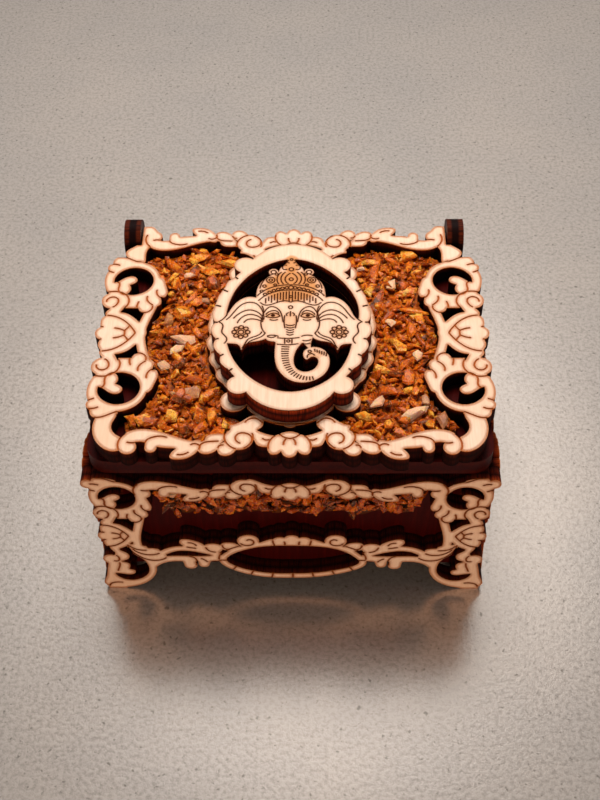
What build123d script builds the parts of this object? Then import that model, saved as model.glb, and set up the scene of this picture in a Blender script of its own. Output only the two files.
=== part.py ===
"""Laser-cut plywood dice box with a hinged lid, scrolled fretwork overlays and a raised medallion.

Frame: X to the right, Y to the back, Z up. The box is drawn about the middle of its walls on the
surface that it stands on. At export every piece moves along Y together, so the origin lies under the
middle of the whole closed box, hinge ears included. All sizes are in millimetres.
"""
from build123d import *
import os
from math import cos, pi, sin

os.makedirs("parts", exist_ok=True)

# ---------------------------------------------------------------- driving dimensions
box_width = 68.0         # over the side fretworks
box_depth = 51.8         # over the front and back fretworks
leg_height = 4.0         # clear height under the walls
wall_height = 28.8       # walls, from their lower edge to the rim
sheet = 3.0              # every laser-cut sheet of plywood
rim_gap = 0.3            # rim to the closed lid
fit_gap = 0.05           # finger joints
engraving_depth = 0.15
engraving_width = 0.26
fine_width = 0.18        # on the medallion
finger_count = 5         # fingers and gaps up each corner
floor_tab = 12.0         # length of a floor tab
pin_diameter = 1.5
pin_clearance = 0.05     # radial, in the ears
pin_grip = 2.0           # length of pin glued into the lid
pin_seat = 0.02          # radial, in the lid
pin_end_gap = 0.1        # pin's inner end to the bottom of its hole
pin_recess = 0.2         # pin's outer end below the ear's outer face
panel_reach = 2.1        # lid panel beyond the front wall
panel_side_reach = 1.6   # lid panel beyond the side walls
panel_corner = 3.5
ear_radius = 3.3
ear_root = 4.0           # height of the ear's foot below the rim
ear_setback = 3.4        # hinge axis behind the back wall
ear_side_gap = 0.3       # ear to the lid beside it
ear_front_gap = 0.5      # ear to the edge of the lid's notch
heel_reach = 5.0         # how far the heel of an ear stands behind the hinge axis
lid_stop_gap = 0.3       # heel to the lid when it lies right back
stone_bed = 1.9          # thickness of the beds of chips
chip_rise = 0.9          # how far the main chips stand out of their bed

# ---------------------------------------------------------------- derived places
half_width = box_width / 2
half_depth = box_depth / 2
wall_x = half_width - sheet              # outer faces of the side walls
wall_y = half_depth - sheet              # outer faces of the front and back walls
inside_x = wall_x - sheet
inside_y = wall_y - sheet
rim = leg_height + wall_height
lid_bottom = rim + rim_gap
panel_top = lid_bottom + sheet
lid_top = panel_top + sheet
hinge_y = wall_y + ear_setback
hinge_z = panel_top + sheet / 2
notch_y = hinge_y - ear_radius - ear_front_gap
notch_x = inside_x - ear_side_gap

# ---------------------------------------------------------------- the ornament's own sizes
# The ornament is drawn at these sizes and stretched to whatever the box measures.
drawn_half_width = 34.0
drawn_half_depth = 26.7
lid_overhang = 0.8       # lid fretwork beyond the front fretwork
drawn_rim = 32.8
drawn_side = 22.9
kx = half_width / drawn_half_width
ky = (half_depth + lid_overhang) / drawn_half_depth
kz = rim / drawn_rim
ks = wall_y / drawn_side
eighths = [2 * pi * i / 8 for i in range(8)]


def blob(at, *points):
    """A smooth closed outline through the points, as a sketch."""
    with BuildSketch() as shape:
        with BuildLine():
            Spline(*[at(*point) for point in points], periodic=True)
        make_face()
    return shape.sketch


def disc(at, x, y, radius):
    """A round outline that stretches with the ornament."""
    return blob(at, *[(x + radius * cos(t), y + radius * sin(t)) for t in eighths])


def patch(at, *points):
    """A straight-sided outline."""
    with BuildSketch() as shape:
        with BuildLine():
            Polyline(*[at(*point) for point in points], close=True)
        make_face()
    return shape.sketch


def band(at, width, *points):
    """A band of even width along a smooth line."""
    with BuildSketch() as shape:
        with BuildLine():
            Spline(*[at(*point) for point in points])
        trace(line_width=width)
    return shape.sketch


def stroke(at, *points):
    """An engraved line."""
    return band(at, engraving_width, *points)


def fine(at, *points):
    """A finer engraved line."""
    return band(at, fine_width, *points)


def curl(at, x, y, radius, start, turns, steps=7):
    """An engraved spiral that winds in from its outer radius to a quarter of it."""
    points = []
    for i in range(steps):
        share = i / (steps - 1)
        angle = start + 2 * pi * turns * share
        r = radius * (1 - 0.72 * share)
        points.append((x + r * cos(angle), y + r * sin(angle)))
    return stroke(at, *points)


def moved(at, du, dv, size=1.0):
    """Where a motif drawn about its own middle lands when that middle is at (du, dv)."""
    return lambda u, v: at(du + size * u, dv + size * v)


# ---------------------------------------------------------------- motifs
# Local coordinates: u outward from the middle, v towards the corner end of the side.
def eye(at):
    """The ring at a corner with its outer curls, claw, small scroll and S-shaped stem."""
    wood = [
        disc(at, 0.25, 0.1, 4.95),
        blob(at, (4.6, -2.4), (5.1, -0.4), (5.1, 1.6), (4.5, 2.8), (3.0, 1.5), (3.2, -1.8)),
        disc(at, 3.85, 3.45, 1.15),
        blob(at, (0.4, 4.3), (3.0, 3.2), (4.2, 4.6), (3.7, 6.0), (2.0, 6.2), (-0.4, 5.2)),
        disc(at, 3.15, -4.85, 1.98),
        blob(at, (0.2, -3.6), (0.6, -5.6), (1.7, -8.0), (2.4, -9.2), (4.1, -8.3), (2.9, -6.3), (2.0, -4.6),
             (1.7, -3.2)),
        patch(at, (0.9, -3.0), (0.8, -6.7), (-1.4, -6.7), (-2.6, -5.4), (-1.6, -3.2)),
        disc(at, -2.65, -6.6, 1.2),
        blob(at, (-2.0, -4.6), (-3.0, -5.9), (-4.2, -6.4), (-5.2, -5.8), (-5.2, -4.5), (-3.9, -2.2),
             (-2.6, -2.8)),
        blob(at, (-3.3, -1.6), (-4.6, -3.5), (-5.7, -4.0), (-6.2, -3.1), (-5.9, -1.4), (-4.7, 0.9),
             (-3.6, 0.6)),
    ]
    hole = disc(at, 0, 0, 3.5)
    comma = [
        blob(at, (1.4, -3.7), (0.7, -3.0), (0.3, -2.0), (0.65, -1.0), (1.7, -0.3), (3.0, -0.2), (3.8, -0.8),
             (3.8, -2.2), (2.7, -3.6)),
        blob(at, (2.9, -0.2), (2.2, 0.35), (1.4, 0.95), (0.3, 1.2), (-0.4, 0.8), (-0.6, 0.1), (-0.15, -0.5),
             (0.7, -0.95), (2.0, -0.9)),
    ]
    lines = [
        stroke(at, (2.95, -0.1), (2.45, -1.0), (2.55, -1.9), (2.25, -2.8), (1.5, -3.35), (0.95, -3.4)),
        stroke(at, (5.1, -3.3), (3.8, -2.66), (1.9, -2.86), (0.7, -3.9), (0.35, -5.2), (0.85, -6.5)),
        stroke(at, (4.25, -5.2), (4.05, -4.4), (3.2, -4.0), (2.3, -4.6), (2.35, -5.7), (3.1, -6.5)),
        stroke(at, (-1.15, -6.6), (-1.2, -5.8), (-1.4, -5.1)),
        stroke(at, (-1.5, -7.4), (-2.6, -7.85), (-3.6, -7.3), (-3.85, -6.2)),
        stroke(at, (-3.9, -6.0), (-3.1, -5.3), (-2.75, -4.6), (-2.8, -3.8)),
        stroke(at, (-5.1, -4.2), (-4.55, -3.6), (-4.3, -2.9), (-4.35, -2.2)),
        stroke(at, (4.9, 2.75), (4.3, 2.4), (3.8, 2.2)),
        stroke(at, (4.5, 4.35), (3.6, 4.35), (2.9, 4.05)),
        stroke(at, (3.3, 6.2), (2.0, 6.1), (0.8, 5.5), (-0.3, 5.0)),
    ]
    return wood, hole, comma, lines


def garland(at):
    """Half of the middle of a border: flower, S-leaf, scroll ring and three small leaves.

    u runs from the middle of the side to its corner and v outwards.
    """
    wood = [
        blob(at, (-1.4, 22.8), (-1.3, 25.0), (-0.9, 26.0), (0.0, 26.4), (0.9, 26.0), (1.3, 25.0),
             (1.4, 22.8), (1.6, 21.9), (0.9, 21.4), (0.0, 21.2), (-0.9, 21.4), (-1.6, 21.9)),
        blob(at, (0.6, 22.4), (1.0, 24.3), (1.7, 25.6), (2.8, 25.8), (3.5, 24.6), (3.2, 23.0), (2.2, 22.0),
             (1.2, 21.9)),
        blob(at, (2.2, 22.1), (3.6, 21.8), (5.2, 21.0), (7.2, 20.2), (7.4, 22.2), (5.8, 22.7), (5.2, 23.8),
             (4.1, 24.3), (2.9, 24.0)),
        disc(at, 8.0, 22.6, 2.3),
        blob(at, (8.2, 24.3), (8.7, 25.4), (10.0, 26.1), (11.1, 25.6), (11.3, 24.6), (10.4, 23.4),
             (8.9, 23.2)),
        blob(at, (10.3, 23.0), (9.9, 21.9), (11.0, 21.7), (12.7, 21.9), (13.4, 22.8), (13.0, 23.9),
             (11.4, 24.2)),
        blob(at, (10.9, 24.2), (11.8, 25.3), (13.2, 25.75), (14.3, 25.2), (14.5, 24.0), (13.7, 23.2),
             (11.8, 23.3)),
    ]
    lines = [
        stroke(at, (-0.15, 22.66), (0.7, 22.5), (1.2, 22.2), (1.6, 21.8)),
        stroke(at, (0.95, 23.95), (0.85, 23.2), (0.55, 22.75)),
        stroke(at, (2.3, 22.1), (3.0, 22.9), (3.35, 23.9), (3.3, 24.7)),
        stroke(at, (3.2, 22.9), (3.7, 23.0), (4.3, 22.6)),
        stroke(at, (5.95, 23.0), (6.3, 22.0), (7.2, 21.55), (8.15, 21.7), (8.6, 22.5), (8.3, 23.3),
               (7.75, 23.6)),
        stroke(at, (6.0, 21.6), (5.8, 22.6), (6.2, 23.7), (7.2, 24.6)),
        stroke(at, (9.6, 20.9), (10.25, 21.6), (10.35, 22.5), (10.0, 23.5), (9.3, 24.3), (8.4, 24.75)),
        stroke(at, (11.2, 24.6), (11.0, 24.1), (10.4, 24.0)),
        stroke(at, (14.1, 24.5), (13.9, 23.8), (13.2, 23.4), (12.3, 23.25), (11.2, 23.2)),
    ]
    return wood, lines


def s_scroll(at):
    """The outer half of a border: a big leaf and an S-scroll that ends in two curls."""
    wood = [
        blob(at, (14.0, 23.2), (14.1, 24.6), (15.4, 26.2), (17.1, 26.8), (18.7, 26.4), (18.2, 25.1),
             (16.6, 23.9), (15.2, 23.1)),
        blob(at, (13.1, 23.3), (15.0, 23.2), (17.3, 22.6), (19.7, 21.6), (21.9, 20.9), (23.9, 20.75),
             (25.5, 21.2), (26.6, 22.2), (27.0, 23.6), (26.2, 24.4), (24.6, 23.5), (22.9, 23.4),
             (20.8, 24.3), (18.3, 24.6), (15.6, 24.6)),
        disc(at, 25.5, 24.4, 1.4),
        disc(at, 21.85, 24.5, 0.95),
        patch(at, (20.9, 24.5), (21.2, 23.2), (22.8, 23.2), (22.8, 24.5)),
    ]
    lines = [
        stroke(at, (14.25, 24.9), (14.2, 24.1), (14.6, 23.8), (15.6, 24.0)),
        stroke(at, (17.6, 25.9), (16.7, 25.9), (15.8, 25.4)),
        stroke(at, (22.8, 23.6), (22.5, 22.9), (21.6, 22.4), (20.6, 22.2), (19.4, 22.5)),
        stroke(at, (24.5, 23.5), (25.2, 23.55), (25.7, 23.4)),
        stroke(at, (26.85, 24.9), (27.1, 23.9), (26.9, 22.8), (26.1, 21.7)),
    ]
    return wood, lines


def shell(at, reach, half_height, lobe):
    """A ribbed shell that points outward, held in a pointed crescent; v = 0 is its middle."""
    h = half_height
    wood = [
        disc(at, reach - lobe, 0, lobe),
        disc(at, reach - lobe - 0.55, 0.62 * h, 0.85 * lobe),
        disc(at, reach - lobe - 0.55, -0.62 * h, 0.85 * lobe),
        blob(at, (reach - 0.4 * h, h), (reach - 1.05 * h, 0.9 * h), (reach - 1.45 * h, 0.5 * h),
             (reach - 1.62 * h, 0), (reach - 1.45 * h, -0.5 * h), (reach - 1.05 * h, -0.9 * h),
             (reach - 0.4 * h, -h), (reach - 0.9, 0)),
        blob(at, (reach - 0.52 * h, 1.08 * h), (reach - 1.15 * h, 1.12 * h), (reach - 1.7 * h, 0.66 * h),
             (reach - 2.1 * h, 0), (reach - 1.7 * h, -0.66 * h), (reach - 1.15 * h, -1.12 * h),
             (reach - 0.52 * h, -1.08 * h), (reach - 2.5, 0)),
    ]
    lines = [stroke(at, (reach - 1.19 * h, 0.15 * h), (reach - 1.21 * h, 0), (reach - 1.19 * h, -0.15 * h))]
    for side in (-1, 1):
        lines += [
            stroke(at, (reach - 0.4 * h, side * h), (reach - 0.88 * h, side * 0.86 * h),
                   (reach - 1.33 * h, side * 0.48 * h), (reach - 1.64 * h, 0)),
            stroke(at, (reach - 0.76 * h, side * 0.28 * h), (reach - 0.98 * h, side * 0.23 * h),
                   (reach - 1.19 * h, side * 0.12 * h)),
            stroke(at, (reach - 1.17 * h, side * 0.12 * h), (reach - 1.28 * h, side * 0.25 * h),
                   (reach - 1.38 * h, side * 0.42 * h)),
            stroke(at, (reach - 0.6, side * 0.36 * h), (reach - 0.95, side * 0.36 * h),
                   (reach - 1.25, side * 0.33 * h)),
        ]
    return wood, lines


def mirrored(sketches):
    """The same sketches on both sides of the middle."""
    with BuildSketch() as both:
        add(sketches)
        mirror(about=Plane.YZ)
    return both.sketch


# ---------------------------------------------------------------- medallion outlines and engraving
opening_a, opening_b = 11.1, 15.45
trunk_ticks = 20


def medallion(at, grow):
    """Scalloped outline: six scallops a side, a round lobe on each diagonal, wide arcs at the ends."""
    side_a = 12.9 + grow
    side_b = 17.1 + grow
    step = pi / 13.4
    outline = [blob(at, *[(side_a * cos(t), side_b * sin(t)) for t in eighths])]
    for index in range(-3, 3):
        t = (index + 0.5) * step
        middle = (side_a * cos(t) * 0.9, side_b * sin(t) * 0.9)
        across = (1.9 * cos(t), 1.9 * sin(t))
        along = (-2.05 * sin(t), 2.3 * cos(t))
        outline.append(blob(at, *[(middle[0] + across[0] * cos(a) + along[0] * sin(a),
                                   middle[1] + across[1] * cos(a) + along[1] * sin(a)) for a in eighths]))
    for end in (-1, 1):
        outline.append(disc(at, 8.3 + 0.8 * grow, end * (14.0 + 0.8 * grow), 1.95 + 0.25 * grow))
        with BuildSketch() as arc:
            with BuildLine():
                ThreePointArc(at(-7.0, end * (15.6 + 0.6 * grow)), at(0, end * (19.4 + 0.5 * grow)),
                              at(7.0, end * (15.6 + 0.6 * grow)))
                Polyline(at(7.0, end * (15.6 + 0.6 * grow)), at(7.0, end * 9.0), at(-7.0, end * 9.0),
                         at(-7.0, end * (15.6 + 0.6 * grow)))
            make_face()
        outline.append(arc.sketch)
    return mirrored(outline)


def medallion_opening(at):
    return blob(at, *[(opening_a * cos(t), opening_b * sin(t)) for t in eighths])


def flower(at, x, y, radius, petals=8):
    """An engraved flower of round petals about a round middle."""
    marks = [ring_mark(at, x, y, 0.32 * radius)]
    for index in range(petals):
        t = 2 * pi * index / petals
        marks.append(ring_mark(at, x + 0.78 * radius * cos(t), y + 0.78 * radius * sin(t), 0.26 * radius))
    return marks


def ring_mark(at, x, y, radius):
    """An engraved circle."""
    with BuildSketch() as shape:
        add(disc(at, x, y, radius + fine_width / 2))
        add(disc(at, x, y, radius - fine_width / 2), mode=Mode.SUBTRACT)
    return shape.sketch


def ticks_along(path, count, length):
    """Short engraved marks across a line."""
    marks = []
    for index in range(count):
        share = (index + 0.5) / count
        across = (path % share).rotate(Axis.Z, 90) * (length * (0.5 - 0.22 * share))
        middle = path @ share
        with BuildSketch() as mark:
            with BuildLine():
                Line(middle - across, middle + across)
            trace(line_width=fine_width)
        marks.append(mark.sketch)
    return marks


def elephant(at):
    """The crowned elephant's head, face on: ears, crown, face and a trunk that curls to one side."""
    wood = [
        # left and right ears
        blob(at, (-4.6, 4.3), (-5.8, 5.7), (-7.2, 6.1), (-9.0, 5.2), (-10.4, 3.0), (-11.6, 0.9), (-12.3, 0.0),
             (-11.4, -1.2), (-11.5, -2.3), (-10.9, -3.2), (-11.0, -4.6), (-9.4, -4.95), (-8.5, -5.5),
             (-8.2, -6.3), (-7.7, -5.3), (-6.2, -4.5), (-4.4, -3.9), (-3.2, -1.0)),
        blob(at, (4.2, 4.3), (5.4, 5.7), (6.8, 6.1), (8.6, 5.2), (10.0, 3.0), (11.2, 0.7), (11.95, -0.15),
             (11.0, -1.3), (11.1, -2.4), (10.5, -3.3), (10.6, -4.7), (9.0, -5.05), (8.1, -5.6),
             (7.7, -6.4), (7.3, -5.4), (5.8, -4.5), (4.0, -3.9), (2.8, -1.0)),
        # crown
        blob(at, (-5.9, 4.9), (-6.15, 7.0), (-5.6, 9.3), (-4.3, 11.0), (-2.9, 12.0), (-0.2, 12.6),
             (2.5, 12.0), (3.9, 11.0), (5.2, 9.3), (5.75, 7.0), (5.5, 4.9), (2.8, 3.6), (-3.2, 3.6)),
        disc(at, -3.3, 12.2, 0.85),
        disc(at, 2.9, 12.2, 0.85),
        blob(at, (-2.4, 12.0), (-2.0, 13.4), (-1.2, 14.3), (-0.2, 14.9), (0.8, 14.3), (1.6, 13.4),
             (2.0, 12.0), (-0.2, 11.4)),
        blob(at, (-1.0, 14.2), (-0.9, 15.2), (-0.35, 16.1), (-0.2, 17.0), (-0.05, 16.1), (0.5, 15.2),
             (0.6, 14.2), (-0.2, 13.8)),
        # face
        blob(at, (-5.0, 4.0), (-5.1, 1.5), (-5.0, -1.0), (-4.2, -2.8), (-2.9, -4.4), (-0.2, -5.6),
             (2.4, -4.4), (3.7, -2.8), (4.5, -1.0), (4.6, 1.5), (4.5, 4.0), (-0.2, 5.0)),
        blob(at, (-4.0, -2.6), (-4.3, -3.7), (-3.6, -4.35), (-2.4, -4.3), (-1.6, -3.4), (-2.4, -2.4)),
        blob(at, (1.6, -3.2), (1.9, -4.4), (2.6, -5.6), (3.2, -6.2), (3.3, -5.2), (3.5, -4.0), (3.5, -2.8)),
        # trunk
        blob(at, (-2.5, -3.6), (-2.65, -6.0), (-2.6, -8.5), (-2.1, -10.5), (-1.0, -12.2), (0.6, -13.3),
             (2.5, -13.5), (4.3, -12.8), (5.7, -11.4), (6.4, -9.3), (6.1, -7.3), (5.0, -6.0), (3.6, -5.7),
             (2.4, -6.3), (2.0, -7.4), (2.6, -8.5), (3.5, -7.9), (4.3, -8.2), (4.45, -9.4), (3.9, -10.5),
             (2.6, -11.15), (1.3, -10.8), (0.55, -9.3), (0.65, -7.3), (1.3, -5.6), (1.9, -4.4), (0.6, -2.6),
             (-1.4, -2.6)),
    ]
    lines = []
    for side in (-1, 1):
        def near(x, y, side=side):
            return at(-0.2 + side * x, y)
        # ear rim, folds and flower
        lines += [
            fine(near, (4.5, 0.6), (5.0, 3.3), (6.2, 4.6), (7.3, 4.7), (8.6, 3.9), (9.8, 2.0), (10.8, 0.6)),
            fine(near, (4.6, 0.5), (5.6, 2.4), (7.0, 2.9), (8.5, 2.2), (9.6, 0.9)),
            fine(near, (4.6, 0.3), (5.8, 1.6), (7.1, 1.8), (8.3, 1.0), (8.9, -0.2)),
            fine(near, (4.6, 0.1), (5.9, 0.7), (7.0, 0.7), (7.8, -0.1)),
            fine(near, (4.7, -2.2), (5.6, -3.2), (6.9, -3.9), (7.4, -4.9), (7.9, -6.0)),
            fine(near, (4.2, -2.6), (5.0, -3.5), (6.2, -4.1), (7.0, -4.9)),
            fine(near, (12.1, 0.1), (11.3, -1.2), (11.4, -2.3), (10.8, -3.2), (10.9, -4.9)),
            fine(near, (12.1, 0.1), (11.4, 0.7), (10.7, 1.9)),
            fine(near, (4.9, 3.9), (4.6, 2.2), (4.9, 0.4), (4.6, -1.8), (4.1, -2.6)),
        ]
        lines += flower(near, 8.2, -2.3, 1.45)
        # eye, brow and cheek
        lines += [
            fine(near, (1.2, 0.0), (1.5, 1.8), (2.3, 3.3), (3.3, 3.7), (4.2, 2.9), (4.6, 1.6)),
            fine(near, (1.95, 2.0), (2.7, 2.75), (3.5, 2.55), (4.15, 1.8)),
            fine(near, (1.75, 1.45), (2.2, 1.95), (2.8, 2.15), (3.5, 1.9), (4.2, 1.3)),
            fine(near, (1.75, 1.45), (2.3, 1.15), (3.0, 1.05), (3.7, 1.2), (4.2, 1.3)),
            fine(near, (2.1, 0.65), (2.8, 0.45), (3.5, 0.65)),
            disc(near, 2.95, 1.6, 0.34),
            fine(near, (0.85, -1.4), (1.05, 0.2), (0.95, 1.6)),
            fine(near, (1.9, -3.3), (2.9, -3.0), (3.8, -3.2)),
            fine(near, (0.3, 2.25), (0.65, 1.95), (0.55, 1.5)),
        ]
        # crown: lower edge, fringe, beads, gems and dome
        lines += [
            fine(near, (0.0, 4.75), (2.6, 4.55), (4.0, 4.05), (5.2, 4.7)),
            fine(near, (0.0, 7.7), (2.3, 7.45), (4.2, 6.5), (5.5, 5.1)),
            fine(near, (0.0, 9.0), (2.3, 8.75), (4.4, 7.75), (5.75, 6.3)),
            fine(near, (0.45, 9.3), (0.95, 9.9), (1.05, 10.6), (0.7, 11.4), (0.15, 11.9)),
            fine(near, (1.3, 9.2), (1.75, 10.2), (1.6, 11.4), (1.0, 12.2)),
            fine(near, (2.1, 9.15), (2.45, 10.2), (2.3, 11.3), (1.7, 12.2)),
            fine(near, (5.35, 8.1), (5.0, 9.6), (4.2, 10.9), (3.0, 11.8)),
            fine(near, (0.75, 12.9), (1.5, 13.1), (1.45, 13.8), (0.8, 13.9)),
            fine(near, (0.35, 14.5), (0.75, 14.75), (0.5, 15.2)),
            ring_mark(near, 3.55, 10.2, 0.72), ring_mark(near, 3.55, 10.2, 0.3),
            ring_mark(near, 2.75, 9.0, 0.24), ring_mark(near, 4.6, 8.7, 0.3),
            ring_mark(near, 2.55, 11.7, 0.26), ring_mark(near, 3.1, 12.2, 0.45),
            ring_mark(near, 5.05, 7.45, 0.26),
        ]
        for index in range(9):
            x = 0.28 + 0.5 * index
            low, high = 5.0 - 0.045 * x * x + 0.004 * x ** 3, 7.4 - 0.09 * x * x
            lines.append(fine(near, (x, low + 0.5 * (index % 2)), (x, high)))
        for index in range(6):
            x = 0.72 + 0.74 * index
            lines.append(ring_mark(near, x, 8.32 - 0.085 * x * x, 0.3))
    # middle gem, forehead, trunk band and finial
    lines += [ring_mark(at, -0.2, 10.4, 0.35), ring_mark(at, -0.2, 8.35, 0.42),
              ring_mark(at, -0.2, 3.55, 0.34), ring_mark(at, -0.2, 6.1, 0.26),
              ring_mark(at, -0.2, 12.9, 0.4), ring_mark(at, -0.2, 15.4, 0.24),
              ring_mark(at, -0.45, -4.35, 0.26), fine(at, (-0.2, 2.6), (-0.2, 1.4))]
    for index in range(5):
        reach = 0.75 - 0.05 * index
        lines.append(fine(at, (-0.2 - reach, -0.55 - 0.55 * index), (-0.2, -0.8 - 0.55 * index),
                          (-0.2 + reach, -0.55 - 0.55 * index)))
    lines += [fine(at, (-2.3, -3.6), (-0.4, -3.75), (1.4, -3.55)),
              fine(at, (-2.35, -5.05), (-0.4, -5.2), (1.2, -4.95)),
              fine(at, (-1.05, -3.75), (-1.05, -4.95)), fine(at, (0.15, -3.75), (0.15, -4.95)),
              fine(at, (-4.0, -3.3), (-3.0, -3.5), (-2.5, -3.1)),
              fine(at, (1.9, -4.2), (2.6, -4.3), (3.3, -4.0)), fine(at, (2.2, -5.0), (2.7, -5.0), (3.2, -4.8))]
    lines += ticks_along(Spline(at(-0.9, -5.4), at(-0.95, -7.6), at(-0.4, -10.2), at(1.0, -12.0),
                                at(2.4, -12.6), at(3.9, -12.5)), trunk_ticks, 1.3)
    lines += [fine(at, (3.9, -7.6), (3.3, -7.2), (2.9, -7.4), (2.75, -8.1)), ring_mark(at, 3.1, -6.7, 0.26)]
    for index in range(6):
        lines.append(fine(at, (3.9 + 0.4 * index, -6.15 - 0.16 * index),
                          (4.0 + 0.36 * index, -6.75 - 0.2 * index)))
    return wood, lines


# ---------------------------------------------------------------- lid fretwork
eye_u = 28.2
eye_v_front = 12.1
eye_v_back = 12.7
back_shift = 0.4         # the sides and back of the lid's ornament sit this far back


def lid_at(u, v):
    return (u * kx, v * ky)


def lid_front(u, v):
    return lid_at(u, -v)


def lid_back(u, v):
    return lid_at(u, v + back_shift)


def lid_quarter(at, eye_v):
    """What the front and back of the lid's fretwork share: an eye, a border and their links."""
    eye_wood, eye_hole, comma, eye_lines = eye(moved(at, eye_u, eye_v))
    mid_wood, mid_lines = garland(at)
    end_wood, end_lines = s_scroll(at)
    links = [
        blob(at, (9.4, 19.9), (8.4, 19.6), (7.2, 18.7), (5.8, 17.9), (4.4, 18.6), (4.3, 19.9), (5.4, 21.0),
             (7.6, 21.2), (9.3, 21.0)),
        blob(at, (-1.3, 19.0), (-1.0, 19.9), (0.0, 20.4), (1.0, 19.9), (1.3, 19.0), (0.0, 18.6)),
        band(at, 1.6, (24.2, 7.0), (25.1, 3.8), (25.75, 0.6), (25.8, -0.6)),
    ]
    link_lines = [
        stroke(at, (7.2, 19.4), (6.4, 18.6), (5.6, 18.5), (4.8, 19.0), (4.2, 19.6)),
        stroke(at, (-4.0, 19.0), (-2.0, 19.55), (0.0, 19.7), (2.0, 19.55), (4.0, 19.0)),
    ]
    return eye_wood + mid_wood + end_wood + links, eye_hole, comma, \
        eye_lines + mid_lines + end_lines + link_lines


shell_wood, shell_lines = shell(lid_back, 33.6, 4.2, 1.6)
back_wood, back_hole, back_comma, back_lines = lid_quarter(lid_back, eye_v_back)
front_wood, front_hole, front_comma, front_lines = lid_quarter(lid_front, eye_v_front)
front_band = blob(lid_front, (31.2, 18.2), (31.55, 20.3), (31.0, 22.6), (29.6, 24.4), (27.4, 25.2),
                  (26.2, 24.4), (26.6, 22.6), (27.6, 21.9), (28.4, 20.8), (28.4, 19.2), (28.0, 17.6),
                  (29.6, 17.2))
back_corner = [
    blob(lid_back, (27.0, 17.6), (28.6, 18.2), (30.0, 19.0), (30.4, 20.1), (29.4, 21.4), (28.2, 22.4),
         (26.9, 23.2), (25.9, 22.6), (26.6, 20.6)),
    blob(lid_back, (28.2, 22.6), (28.5, 24.9), (28.2, 26.8), (27.0, 27.2), (25.9, 27.0), (25.3, 26.2),
         (24.6, 25.2), (25.8, 22.8)),
]
# the notches that the hinge ears stand in
with BuildSketch() as ear_notches:
    for side in (-1, 1):
        with Locations((side * notch_x, notch_y)):
            Rectangle(half_width, half_depth, align=(Align.MIN if side > 0 else Align.MAX, Align.MIN))

with BuildSketch() as lid_wood:
    add(mirrored(back_wood + front_wood + shell_wood + [front_band] + back_corner))
    add(mirrored([back_hole, front_hole]), mode=Mode.SUBTRACT)
    add(mirrored(back_comma + front_comma))
    add(medallion(lid_at, 1.1))
    add(medallion_opening(lid_at), mode=Mode.SUBTRACT)
    add(ear_notches.sketch, mode=Mode.SUBTRACT)

medallion_lines = []
for index in range(-3, 4):
    t = index * pi / 13.4
    medallion_lines.append(stroke(lid_at, (13.9 * cos(t), 17.9 * sin(t)), (13.2 * cos(t), 17.0 * sin(t))))

with BuildPart() as lid_fretwork:
    with BuildSketch(Plane.XY.offset(panel_top)):
        add(lid_wood.sketch)
    extrude(amount=sheet)
    with BuildSketch(Plane.XY.offset(lid_top)):
        add(mirrored(back_lines + front_lines + shell_lines + medallion_lines))
    extrude(amount=-engraving_depth, mode=Mode.SUBTRACT)
    # blind holes that grip the hinge pins
    for side in (-1, 1):
        with BuildSketch(Plane.YZ.offset(side * (notch_x + ear_side_gap))):
            with Locations((hinge_y, hinge_z)):
                Circle(pin_diameter / 2 + pin_seat)
        extrude(amount=-side * (ear_side_gap + pin_grip + pin_end_gap), mode=Mode.SUBTRACT)
lid_fretwork.part.label = "lid_fretwork"

# ---------------------------------------------------------------- medallion plate, on the fretwork
head_wood, head_lines = elephant(lid_at)
plate_lines = []
for side in (-1, 1):
    for index in range(-3, 4):
        t = index * pi / 13.4
        plate_lines.append(stroke(lid_at, (side * 13.3 * cos(t), 17.3 * sin(t)),
                                  (side * 12.4 * cos(t), 16.2 * sin(t))))
with BuildPart() as medallion_plate:
    with BuildSketch(Plane.XY.offset(lid_top)):
        add(medallion(lid_at, 0.0))
        add(medallion_opening(lid_at), mode=Mode.SUBTRACT)
        add(head_wood)
    extrude(amount=sheet)
    with BuildSketch(Plane.XY.offset(lid_top + sheet)):
        add(head_lines + plate_lines)
    extrude(amount=-engraving_depth, mode=Mode.SUBTRACT)
medallion_plate.part.label = "medallion_plate"

# ---------------------------------------------------------------- lid panel, under the fretwork
with BuildPart() as lid_panel:
    with BuildSketch(Plane.XY.offset(lid_bottom)):
        RectangleRounded(2 * (wall_x + panel_side_reach), 2 * (wall_y + panel_reach), panel_corner)
        add(ear_notches.sketch, mode=Mode.SUBTRACT)
    extrude(amount=sheet)
lid_panel.part.label = "lid_panel"

# ---------------------------------------------------------------- beds of chips in the lid
quarter_bed = [(24.3, 0.0), (23.7, 3.6), (22.4, 5.6), (21.5, 7.6), (21.2, 10.0), (22.2, 13.0), (23.1, 15.4),
               (24.5, 17.2), (25.9, 18.4), (25.8, 19.9), (24.2, 20.0), (21.0, 20.5), (17.0, 21.9),
               (13.9, 22.2), (12.9, 21.1), (10.0, 21.0), (9.0, 19.7), (9.1, 18.1), (11.0, 17.5),
               (11.6, 16.0), (11.8, 14.4), (11.6, 12.4), (12.4, 10.4), (13.2, 8.6), (13.9, 6.6),
               (14.4, 4.8), (14.8, 2.4), (14.8, 0.0)]
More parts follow.
